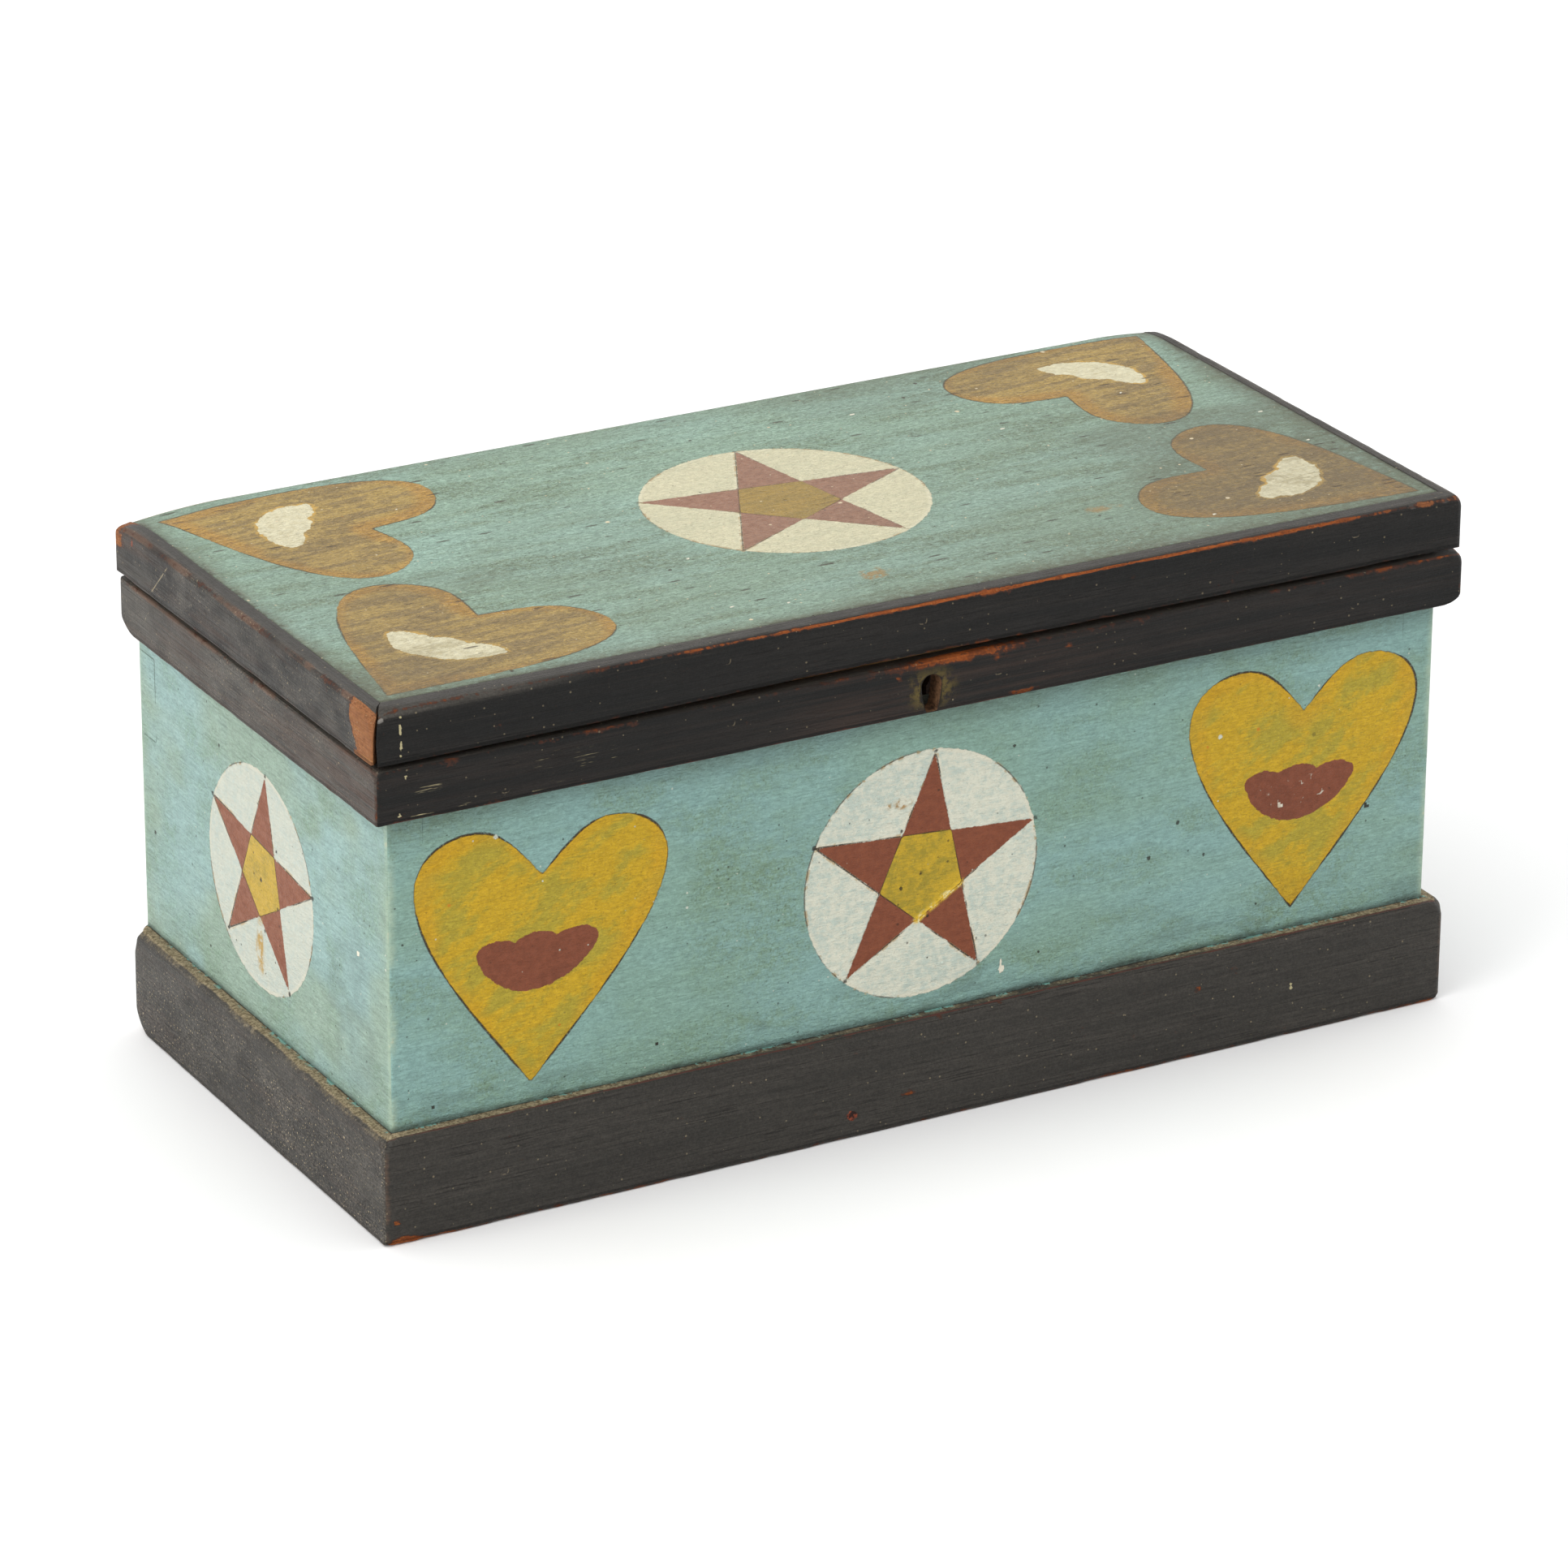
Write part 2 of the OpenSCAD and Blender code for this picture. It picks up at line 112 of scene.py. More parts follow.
def accent_outline(half=19.8):
    """A scalloped crescent: three shallow scallops above, a round below."""
    u = np.linspace(-1, 1, 91)
    top = 1.4 * (1 - np.abs(u) ** 8) + 4.0
    for lo, hi, rise in ((-1.0, -0.36, 2.0), (-0.36, 0.31, 2.7), (0.31, 1.0, 2.2)):
        on = (u >= lo) & (u <= hi)
        w = np.clip((u - lo) / (hi - lo) * 2 - 1, -1, 1)
        top = np.where(on, top + rise * np.sqrt(1 - w * w), top)
    bottom = 4.0 - 13.6 * (1 - np.abs(u) ** 2.1) ** 0.72 * (1 - 0.10 * u)
    up = np.column_stack([u * half, top])
    down = np.column_stack([u * half, np.minimum(bottom, top - 0.02)])[::-1]
    return np.vstack([up, down[1:-1]])


def place(poly, tip, angle, scale=1.0):
    """Turn an outline so that its +v axis points along angle (degrees from +u), then move its origin to tip."""
    a = math.radians(angle - 90)
    c, s = math.cos(a), math.sin(a)
    q = poly * scale
    return np.column_stack([q[:, 0] * c - q[:, 1] * s + tip[0], q[:, 0] * s + q[:, 1] * c + tip[1]])


def star_parts(tips):
    """Ten-cornered star and its inner pentagon, from the five tips in order."""
    t = [np.asarray(p, float) for p in tips]

    def cross(p, q, r, s):
        d1, d2 = q - p, s - r
        k = ((r - p)[0] * d2[1] - (r - p)[1] * d2[0]) / (d1[0] * d2[1] - d1[1] * d2[0])
        return p + k * d1
    pent = [cross(t[k], t[(k + 2) % 5], t[(k + 1) % 5], t[(k + 4) % 5]) for k in range(5)]
    star = []
    for k in range(5):
        star += [t[k], pent[k]]
    return np.array(star), np.array(pent)


def sdf(P, poly, reach=8.0):
    """Signed distance in mm from points to a closed outline, negative inside, cut off at reach outside."""
    out = np.full(len(P), reach)
    lo, hi = poly.min(0) - reach, poly.max(0) + reach
    near = np.where(((P > lo) & (P < hi)).all(1))[0]
    q = P[near]
    best = np.full(len(q), 1e9)
    inside = np.zeros(len(q), bool)
    for a, b in zip(poly, np.roll(poly, -1, 0)):
        d = b - a
        t = np.clip(((q - a) @ d) / max(d @ d, 1e-12), 0, 1)
        best = np.minimum(best, ((q - a - t[:, None] * d) ** 2).sum(1))
        if a[1] != b[1]:
            hit = (a[1] > q[:, 1]) != (b[1] > q[:, 1])
            inside ^= hit & (q[:, 0] < a[0] + (q[:, 1] - a[1]) * d[0] / d[1])
    dist = np.sqrt(best)
    out[near] = np.where(inside, -dist, np.minimum(dist, reach))
    return out


FRONT = {
    "hearts": [((-130.9, 39.5), 86.3, 1.0), ((127.1, 40.2), 87.7, 0.995)],
    "disc": ((-2.15, 77.9), 39.0),
    "tips": [(2.1, 115.8), (36.6, 87.8), (17.6, 45.0), (-27.6, 48.8), (-38.2, 93.2)],
    "accent": 1.0,
    "ridge": 1.0,
    "rag": 0.5,
}
END = {     # u runs from the back of the box to the front
    "hearts": [],
    "disc": ((-0.6, 79.5), 35.0),
    "tips": [(3.7, 113.8), (34.2, 87.0), (17.4, 50.2), (-23.8, 55.4), (-32.8, 95.0)],
    "accent": 1.0,
    "ridge": 0.0,
    "rag": 0.5,
}
LID = {
    "hearts": [((-170.6, 79.1), -34.8, 1.0), ((-171.9, -76.6), 40.5, 1.02),
               ((170.6, 82.6), 218.3, 0.98), ((171.3, -77.1), 135.9, 1.01)],
    "disc": ((0.7, 5.85), 43.8),
    "tips": [(7.4, 49.2), (44.8, 13.4), (20.9, -32.2), (-30.8, -25.4), (-39.6, 24.6)],
    "accent": 0.9,
    "ridge": 0.0,
    "rag": 2.6,
}


def ornament(P, spec):
    """Signed distances of every ornament, and of the pricks left by the compass at the star's tips."""
    hearts = np.full(len(P), 8.0)
    accents = np.full(len(P), 8.0)
    for k, (tip, angle, scale) in enumerate(spec["hearts"]):
        hearts = np.minimum(hearts, sdf(P, place(heart_outline(), tip, angle, scale)))
        a = math.radians(angle)
        c = (tip[0] + 38.5 * scale * math.cos(a), tip[1] + 38.5 * scale * math.sin(a))
        accents = np.minimum(accents, sdf(P, place(accent_outline(), c, angle + (2, -1, 3, -2)[k], scale * spec["accent"])))
    accents = accents + spec["rag"] * (fbm(P[:, 0] / 2.8, P[:, 1] / 2.8, 19, 3, 0.6) - 0.5)
    (cu, cv), r = spec["disc"]
    ang = np.arctan2(P[:, 1] - cv, P[:, 0] - cu)
    disc = np.hypot(P[:, 0] - cu, P[:, 1] - cv) - r - 0.25 * np.sin(2 * ang + 0.6)
    star, pent = star_parts(spec["tips"])
    sd_star, sd_pent = sdf(P, star), sdf(P, pent)
    pricks = np.full(len(P), 9.0)
    for tip in list(spec["tips"]) + [spec["disc"][0]]:
        pricks = np.minimum(pricks, np.hypot(P[:, 0] - tip[0], P[:, 1] - tip[1]))
    # brush-laid ridge of paint along one edge of the pentagon
    a, b = pent[1], pent[2]
    t = np.clip(((P - a) @ (b - a)) / ((b - a) @ (b - a)), 0, 1)
    gap = np.hypot(*(P - a - t[:, None] * (b - a)).T) + 0.5 * (fbm(P[:, 0] / 3, P[:, 1] / 3, 77) - 0.5)
    ridge = spec["ridge"] * smooth(1.5, 0.3, gap)
    return {"sd_heart": hearts, "sd_accent": accents, "sd_disc": np.minimum(disc, 8.0),
            "sd_star": sd_star, "sd_pent": sd_pent, "prick": pricks, "ridge": ridge}


# ------------------------------------------------------------------ meshes
def new_object(name, verts_mm, faces, attrs=None, uv=None, mat=None, flat=0):
    """A mesh object, smooth but for its last flat faces."""
    me = bpy.data.meshes.new(name)
    me.from_pydata((np.asarray(verts_mm) * 0.001).tolist(), [], faces)
    me.update()
    soft = np.ones(len(me.polygons), bool)
    if flat:
        soft[-flat:] = False
    me.polygons.foreach_set("use_smooth", soft)
    for key, val in (attrs or {}).items():
        at = me.attributes.new(key, "FLOAT", "POINT")
        at.data.foreach_set("value", np.asarray(val, np.float32))
    if uv is not None:
        layer = me.uv_layers.new(name="OFBake")
        idx = np.zeros(len(me.loops), np.int32)
        me.loops.foreach_get("vertex_index", idx)
        layer.data.foreach_set("uv", np.asarray(uv, np.float32)[idx].ravel())
    ob = bpy.data.objects.new(name, me)
    bpy.context.scene.collection.objects.link(ob)
    if mat:
        me.materials.append(mat)
    return ob


def grid_faces(nu, nv, flip=False):
    i, j = np.meshgrid(np.arange(nu - 1), np.arange(nv - 1), indexing="ij")
    a = (i * nv + j).ravel()
    f = np.column_stack([a, a + nv, a + nv + 1, a + 1])
    return (f[:, ::-1] if flip else f).tolist()


def painted_panel(name, us, vs, out, spec, lift, extra, mat, flip=False):
    """A painted face: a fine grid over (u, v), lifted off its board by lift(u, v) and closed behind.
    out(u, v, d) gives the place in millimetres of a point that stands d off the board."""
    nu, nv = len(us), len(vs)
    U, V = np.meshgrid(us, vs, indexing="ij")
    u, v = U.ravel(), V.ravel()
    attrs = ornament(np.column_stack([u, v]), spec)
    attrs.update(extra(u, v))
    # Where key is 2, behind the keyhole slot, the panel is marked pit-dark: painted shade inside the keyhole. Where key
    # is 1 it is marked with a small hole.
    if "key" in attrs:
        key = attrs.pop("key")
        attrs["prick"] = np.where(key > 1, -1.5, np.where(key > 0, 0.0, attrs["prick"]))
    top = out(u, v, lift(u, v, attrs))
    ring = ([i * nv for i in range(nu)] + [(nu - 1) * nv + j for j in range(1, nv)]
            + [i * nv + nv - 1 for i in range(nu - 2, -1, -1)] + [j for j in range(nv - 2, 0, -1)])
    back = out(u[ring], v[ring], np.full(len(ring), 0.02))
    n = len(u)
    faces = grid_faces(nu, nv, flip)
    m = len(ring)
    for k in range(m):
        q = [ring[k], n + k, n + (k + 1) % m, ring[(k + 1) % m]]
        faces.append(q if not flip else q[::-1])
    b = [n + k for k in range(m)]
    faces.append(b[::-1] if not flip else b)
    su, sv = (u - us[0]) / (us[-1] - us[0]), (v - vs[0]) / (vs[-1] - vs[0])
    uv = np.column_stack([0.004 + 0.992 * su, 0.04 + 0.955 * sv])
    uvb = np.column_stack([0.004 + 0.992 * su[ring], 0.006 + 0.02 * sv[ring]])
    full = {k: np.concatenate([a, np.asarray(a)[ring]]) for k, a in attrs.items()}
    return new_object(name, np.vstack([top, back]), faces, full, np.vstack([uv, uvb]), mat, m + 1)


def rounded_profile(w, h, r, step):
    """Rounded rectangle from (0, 0) to (w, h) as points, anticlockwise. r is the corner radii: at (0,0), (w,0), (w,h), (0,h)."""
    pts = []
    corners = [((0, 0), 180, r[0]), ((w, 0), 270, r[1]), ((w, h), 0, r[2]), ((0, h), 90, r[3])]
    for k, ((cx, cy), start, rad) in enumerate(corners):
        ox, oy = (rad if cx == 0 else w - rad), (rad if cy == 0 else h - rad)
        n = max(2, int(round(rad * 1.6 / 0.32)))
        arc = [(ox + rad * math.cos(math.radians(start + 90 * t / n)), oy + rad * math.sin(math.radians(start + 90 * t / n))) for t in range(n + 1)]
        pts += arc
        (nx, ny), nstart, nrad = corners[(k + 1) % 4]
        ex = (nrad if nx == 0 else w - nrad) + nrad * math.cos(math.radians(nstart))
        ey = (nrad if ny == 0 else h - nrad) + nrad * math.sin(math.radians(nstart))
        gap = math.hypot(ex - arc[-1][0], ey - arc[-1][1])
        m = int(gap / step)
        for t in range(1, m + 1):
            f = t / (m + 1)
            pts.append((arc[-1][0] + f * (ex - arc[-1][0]), arc[-1][1] + f * (ey - arc[-1][1])))
    return np.array(pts)


def stations(length, fine, coarse, reach):
    """Places along a strip, closer together near its two ends."""
    near = np.arange(0, reach, fine)
    n = max(2, int(round((length - 2 * reach) / coarse)))
    return np.concatenate([near, np.linspace(reach, length - reach, n), length - near[::-1]])


def round_off(p, q, rp, rq):
    """Moves points that lie outside an elliptical corner onto it. p and q are distances in from the two faces."""
    a, b = (rp - p) / rp, (rq - q) / rq
    r = np.hypot(a, b)
    hit = (a > 0) & (b > 0) & (r > 1)
    return np.where(hit, rp * (1 - a / np.maximum(r, 1)), p), np.where(hit, rq * (1 - b / np.maximum(r, 1)), q)


def ball(d, r):
    """Moves points that lie outside an ellipsoidal corner onto it. d are the distances in from the three faces, r the radii."""
    a = [np.clip((ri - di) / ri, 0, None) for di, ri in zip(d, r)]
    n = np.maximum(np.sqrt(sum(q * q for q in a)), 1.0)
    return [np.where((n > 1) & (ai > 0), ri * (1 - ai / n), di) for ai, di, ri in zip(a, d, r)]


def worn_corner(d, r, reach, along, share=1.0):
    """A corner rubbed round: the radii grow from nothing at reach from the corner. along is the index of the strip's own direction in d."""
    k = share * smooth(reach, 0.0, d[along]) * smooth(reach, 0.0, d[2])
    return ball(d, [0.4 + (ri - 0.4) * k for ri in r])


class Strip:
    """One applied strip as a swept profile. s is the distance along it, o the depth in from its outer face, h the height above its foot."""

    def __init__(self, length, thick, height, radii, fine=0.35, coarse=1.25, step=0.85):
        prof = rounded_profile(thick, height, radii, step)
        st = stations(length, fine, coarse, 11.0)
        self.np_, self.ns = len(prof), len(st)
        self.t = np.repeat(st / length, self.np_)
        self.o = np.tile(prof[:, 0], self.ns)
        self.h = np.tile(prof[:, 1], self.ns)
        self.length, self.thick, self.height = length, thick, height
        per = np.concatenate([[0], np.cumsum(np.hypot(*np.diff(prof, axis=0).T))])
        self.around = np.tile(per / per[-1], self.ns)
        self.girth = per[-1]
        a = np.arange(self.ns - 1)[:, None] * self.np_ + np.arange(self.np_)[None, :]
        b = np.arange(self.ns - 1)[:, None] * self.np_ + (np.arange(self.np_)[None, :] + 1) % self.np_
        self.faces = np.stack([a, b, b + self.np_, a + self.np_], -1).reshape(-1, 4).tolist()
        self.faces.append(list(range(self.np_))[::-1])
        last = (self.ns - 1) * self.np_
        self.faces.append([last + k for k in range(self.np_)])

    def uv(self):
        return np.column_stack([0.004 + 0.99 * self.t, 0.004 + 0.99 * self.around])


# ------------------------------------------------------------------ node materials
class Mat:
    def __init__(self, name):
        self.mat = bpy.data.materials.new(name)
        self.mat.use_nodes = True
        self.nt = self.mat.node_tree
        self.nt.nodes.clear()
        self.out = self.nt.nodes.new("ShaderNodeOutputMaterial")
        self.bsdf = self.nt.nodes.new("ShaderNodeBsdfPrincipled")
        self.nt.links.new(self.bsdf.outputs[0], self.out.inputs[0])
        self._obj = None

    def put(self, sock, val):
        if isinstance(val, bpy.types.NodeSocket):
            self.nt.links.new(val, sock)
        elif val is not None:
            sock.default_value = val

    def node(self, kind, **props):
        n = self.nt.nodes.new(kind)
        for k, v in props.items():
            setattr(n, k, v)
        return n

    def pos(self):
        if self._obj is None:
            self._obj = self.node("ShaderNodeTexCoord").outputs["Object"]
        return self._obj

    def attr(self, name):
        return self.node("ShaderNodeAttribute", attribute_type="GEOMETRY", attribute_name=name).outputs["Fac"]

    def axes(self, vec=None):
        n = self.node("ShaderNodeSeparateXYZ")
        self.put(n.inputs[0], vec or self.pos())
        return n.outputs

    def vec(self, x, y, z):
        n = self.node("ShaderNodeCombineXYZ")
        for s, v in zip(n.inputs, (x, y, z)):
            self.put(s, v)
        return n.outputs[0]

    def scaled(self, vec, s, rot=(0, 0, 0), loc=(0, 0, 0)):
        n = self.node("ShaderNodeMapping")
        self.put(n.inputs["Vector"], vec)
        n.inputs["Scale"].default_value = s
        n.inputs["Rotation"].default_value = rot
        n.inputs["Location"].default_value = loc
        return n.outputs[0]

    def noise(self, vec, scale, detail=4.0, rough=0.55, dist=0.0):
        n = self.node("ShaderNodeTexNoise", noise_dimensions="3D")
        self.put(n.inputs["Vector"], vec)
        n.inputs["Scale"].default_value = scale
        n.inputs["Detail"].default_value = detail
        n.inputs["Roughness"].default_value = rough
        n.inputs["Distortion"].default_value = dist
        return n.outputs["Fac"]

    def cells(self, vec, scale, rand=1.0, feature="F1", dims="3D"):
        n = self.node("ShaderNodeTexVoronoi", feature=feature, voronoi_dimensions=dims)
        self.put(n.inputs["Vector"], vec)
        n.inputs["Scale"].default_value = scale
        n.inputs["Randomness"].default_value = rand
        return n.outputs["Distance"], (n.outputs["Color"] if feature == "F1" else None)

    def math(self, op, a, b=None, c=None, clamp=False):
        n = self.node("ShaderNodeMath", operation=op, use_clamp=clamp)
        for s, v in zip(n.inputs, (a, b, c)):
            self.put(s, v)
        return n.outputs[0]

    def add(self, a, b):
        return self.math("ADD", a, b)

    def mul(self, a, b):
        return self.math("MULTIPLY", a, b)

    def ramp(self, x, a, b, c=0.0, d=1.0):
        """Smooth step of x from a to b, onto c to d."""
        n = self.node("ShaderNodeMapRange", interpolation_type="SMOOTHSTEP", clamp=True)
        for s, v in zip(n.inputs, (x, a, b, c, d)):
            self.put(s, v)
        return n.outputs[0]

    def mix(self, fac, a, b, blend="MIX"):
        n = self.node("ShaderNodeMix", data_type="RGBA", blend_type=blend, clamp_factor=True)
        self.put(n.inputs["Factor"], fac)
        self.put(n.inputs[6], a)
        self.put(n.inputs[7], b)
        return n.outputs[2]

    def tint(self, col, val):
        """Multiplies a colour by a value."""
        n = self.node("ShaderNodeVectorMath", operation="SCALE")
        self.put(n.inputs[0], col)
        self.put(n.inputs["Scale"], val)
        return n.outputs[0]

    def blobs(self, vec, scale, size, keep, seed=0.0, dims="2D", rag=None):
        """Round specks: size is their radius as a share of the cell, keep the share of cells that have one."""
        d, colour = self.cells(self.scaled(vec, (1, 1, 1), loc=(seed, seed * 0.7, seed * 1.3)), scale, dims=dims)
        if rag is not None:
            d = self.add(d, rag)
        sep = self.node("ShaderNodeSeparateColor")
        self.put(sep.inputs[0], colour)
        chosen = self.math("LESS_THAN", sep.outputs[0], keep)
        grow = self.mul(sep.outputs[1], size)
        return self.mul(self.math("SUBTRACT", 1.0, self.ramp(d, self.mul(grow, 0.55), grow)), chosen)

    def finish(self, colour, rough, height=None, depth=0.001, spec=0.4, metal=0.0, strength=1.0):
        self.put(self.bsdf.inputs["Base Color"], colour)
        self.put(self.bsdf.inputs["Roughness"], rough)
        self.bsdf.inputs["Metallic"].default_value = metal
        self.bsdf.inputs["Specular IOR Level"].default_value = spec
        if height is not None:
            b = self.node("ShaderNodeBump")
            b.inputs["Strength"].default_value = strength
            b.inputs["Distance"].default_value = depth
            self.put(b.inputs["Height"], height)
            self.put(self.bsdf.inputs["Normal"], b.outputs[0])
        return self.mat


def paint_layers(m, P, along, hairs, wrinkles):
    """The noises of brushed paint: broad grain, hair-fine streaks, wrinkles, fine and very fine grit."""
    grain = m.noise(m.scaled(P, along), 1.0, 4.0, 0.6)
    hair = m.noise(m.scaled(P, hairs, loc=(3, 5, 2)), 1.0, 3.0, 0.62, 0.25)
    curl = m.noise(m.scaled(P, wrinkles, loc=(1, 8, 4)), 1.0, 2.0, 0.55, 0.9)
    fine = m.noise(P, 430.0, 3.0, 0.62)
    speck = m.noise(P, 1500.0, 2.0, 0.6)
    return grain, hair, curl, fine, speck


def ground_coat(m, layers, pal, hue, green):
    """The painted ground colour, from slow changes of hue and greenish soiling and the paint layers, with painted
    glints and painted light and shade on the wrinkles.
    """
    grain, hair, curl, fine, speck = layers
    light, dark = m.ramp(speck, 0.42, 0.28), m.ramp(speck, 0.58, 0.72)
    teal = m.mix(hue, pal["teal_a"], pal["teal_b"])
    teal = m.mix(m.mul(green, m.ramp(m.add(m.mul(fine, 0.6), m.mul(speck, 0.4)), 0.34, 0.62, 0.15, 1.0)), teal, pal["teal_dirt"])
    teal = m.tint(teal, m.ramp(grain, 0.28, 0.74, 1.0 + pal["streak"], 1.0 - pal["streak"]))
    teal = m.mix(m.mul(dark, m.add(m.mul(green, 0.45), pal["grit"])), teal, pal["teal_dark"])
    # The glint mixes here and at the end are painted glints of light on the paint's fine relief.
    teal = m.mix(m.mul(light, pal["glint"]), teal, pal["teal_light"])
    teal = m.tint(teal, m.ramp(fine, 0.28, 0.72, 0.94, 1.06))
    teal = m.mix(m.mul(m.ramp(grain, 0.60, 0.76), pal["pore"]), teal, pal["teal_dark"])
    teal = m.tint(teal, m.ramp(hair, 0.34, 0.66, 1.0 + pal["hair"], 1.0 - pal["hair"]))
    # The curl tint is painted light and shade on the paint's wrinkles, which the bump also raises.
    teal = m.tint(teal, m.ramp(curl, 0.32, 0.68, 1.0 - pal["curl"], 1.0 + pal["curl"]))
    teal = m.mix(m.mul(m.ramp(hair, 0.60, 0.74), pal["pore2"]), teal, pal["teal_dark"])
    return m.mix(m.mul(m.ramp(hair, 0.38, 0.26), pal["glint"]), teal, pal["teal_light"])


def paint_material(name, plane, along, hairs, wrinkles, pal, gloss):
    """Old brush-painted board. plane: the two axes of the face; along, hairs, wrinkles: scale vectors that draw noise out along the grain."""
    m = Mat(name)
    P = m.pos()
    ax = dict(zip("xyz", m.axes()))
    F = m.vec(ax[plane[0]], ax[plane[1]], 0.0)
    layers = paint_layers(m, P, along, hairs, wrinkles)
    grain, hair, curl, fine, speck = layers
    rag = m.mul(m.math("SUBTRACT", speck, 0.5), 0.10)
    hue, green, smear, gate, dirt_and_shade, pale = (m.attr(k) for k in ("hue", "green", "smear", "gate", "dirt_and_shade", "pale"))
    wob = m.add(m.mul(m.math("SUBTRACT", fine, 0.5), 1.3), m.mul(m.math("SUBTRACT", speck, 0.5), 0.55))
    wob2 = m.math("SUBTRACT", m.mul(m.math("SUBTRACT", speck, 0.5), 0.6), m.mul(m.math("SUBTRACT", fine, 0.5), 0.7))
    # light picks the specks where painted glints of light on the fine relief are mixed into the colours below; the curl
    # tints below are painted light and shade on the wrinkles.
    light, dark = m.ramp(speck, 0.42, 0.28), m.ramp(speck, 0.58, 0.72)

    teal = ground_coat(m, layers, pal, hue, green)

    def inside(sd, w=wob, soft=0.14, shift=0.0):
        return m.math("SUBTRACT", 1.0, m.ramp(m.add(m.add(sd, w), shift), -soft, soft))

    sd_heart, sd_accent, sd_disc, sd_star, sd_pent, prick = (m.attr(k) for k in ("sd_heart", "sd_accent", "sd_disc", "sd_star", "sd_pent", "prick"))
    stroke = m.ramp(m.add(smear, m.add(m.mul(m.math("SUBTRACT", fine, 0.5), 0.28), m.mul(m.math("SUBTRACT", hair, 0.5), 0.30))), 0.40, 0.64)

    heart = m.mix(stroke, pal["heart_a"], pal["heart_b"])
    heart = m.mix(m.mul(m.ramp(m.add(sd_heart, m.mul(m.math("SUBTRACT", hue, 0.5), 5.0)), -6.0, -0.8), pal["heart_rim"]), heart, pal["heart_edge"])
    heart = m.mix(m.mul(dark, pal["heart_grit"]), heart, pal["heart_dirt"])
    heart = m.tint(heart, m.ramp(fine, 0.28, 0.72, 1.05, 0.94))
    heart = m.mix(m.mul(m.ramp(grain, 0.52, 0.74), pal["heart_grime"]), heart, pal["heart_dirt"])
    heart = m.mix(m.mul(light, 0.8 * pal["heart_grit"]), heart, pal["heart_light"])
    heart = m.tint(heart, m.ramp(hair, 0.34, 0.66, 1.0 + 0.6 * pal["hair"], 1.0 - 0.6 * pal["hair"]))
    heart = m.tint(heart, m.ramp(curl, 0.32, 0.68, 1.0 - pal["curl"], 1.0 + pal["curl"]))
    heart = m.mix(m.mul(m.ramp(hair, 0.60, 0.74), pal["heart_pore"]), heart, pal["heart_dirt"])
    heart = m.mix(m.mul(m.blobs(F, 115.0, 0.085, 0.10, 8.8, "2D", rag), 0.8), heart, pal["heart_spot"])
    accent = m.mix(m.ramp(fine, 0.32, 0.68), pal["accent_a"], pal["accent_b"])
    accent = m.mix(m.mul(dark, 0.30), accent, pal["accent_dirt"])
    accent = m.mix(m.mul(m.ramp(m.add(m.mul(fine, 0.5), m.mul(green, 0.5)), 0.36, 0.60), pal["accent_soil"]), accent, pal["accent_dirt"])
    accent = m.tint(accent, m.ramp(curl, 0.32, 0.68, 1.0 - 0.45 * pal["curl"], 1.0 + 0.45 * pal["curl"]))
    mottle = m.ramp(m.add(m.add(m.mul(green, 0.14), m.mul(fine, 0.58)), m.add(m.mul(curl, 0.40), m.mul(hair, 0.14))), 0.50, 0.74)
    white = m.mix(m.mul(mottle, pal["mottle"]), pal["white_a"], pal["white_b"])
    white = m.mix(m.mul(dark, 0.42), white, pal["white_dirt"])
    white = m.mix(m.mul(light, 0.35), white, pal["white_light"])
    white = m.tint(white, m.ramp(hair, 0.34, 0.66, 1.0 + 0.4 * pal["hair"], 1.0 - 0.4 * pal["hair"]))
    white = m.tint(white, m.ramp(curl, 0.32, 0.68, 1.0 - 0.45 * pal["curl"], 1.0 + 0.45 * pal["curl"]))
    lip = m.mul(m.ramp(m.add(sd_star, m.mul(wob, 0.8)), 1.5, 0.3), m.ramp(gate, 0.44, 0.56))
    lip = m.math("MAXIMUM", lip, m.mul(m.ramp(m.add(sd_disc, m.mul(wob, 0.8)), -1.7, -0.5), m.ramp(gate, 0.54, 0.44)))
    white = m.mix(m.mul(lip, 0.65), white, pal["lip"])
    red = m.mix(m.ramp(fine, 0.34, 0.68), pal["red_a"], pal["red_b"])
    red = m.mix(m.mul(m.ramp(grain, 0.56, 0.76), pal["pore"]), red, pal["red_dirt"])
    red = m.tint(red, m.ramp(hair, 0.34, 0.66, 1.0 + 0.5 * pal["hair"], 1.0 - 0.5 * pal["hair"]))
    pent = m.mix(m.ramp(m.add(m.mul(fine, 0.45), m.add(m.mul(hair, 0.30), m.mul(smear, 0.35))), 0.46, 0.66), pal["pent_a"], pal["pent_b"])
    pent = m.mix(m.mul(dark, 0.55), pent, pal["heart_dirt"])
    pent = m.mix(m.mul(light, 0.30), pent, pal["heart_light"])
    pent = m.mix(m.mul(m.ramp(grain, 0.54, 0.75), 0.9), pent, pal["heart_dirt"]) if pal["scars"] else pent

    col = teal
    m_heart = inside(sd_heart)
    col = m.mix(m_heart, col, heart)
    if pal["accent_rim"]:
        col = m.mix(m.mul(m.mul(inside(sd_accent, wob2, 0.35, -1.0), m.ramp(m.add(m.mul(gate, 0.7), m.mul(fine, 0.7)), 0.66, 0.80, 0.08, 1.0)), m_heart), col, pal["accent_rim"])
    m_accent = inside(sd_accent, wob)
    col = m.mix(m_accent, col, accent)
    m_disc = inside(sd_disc, wob)
    col = m.mix(m_disc, col, white)
    m_star = inside(sd_star, wob2, 0.12, 0.12)
    col = m.mix(m_star, col, red)
    m_pent = inside(sd_pent, wob2, 0.12)
    col = m.mix(m_pent, col, pent)
    ridge = m.attr("ridge")
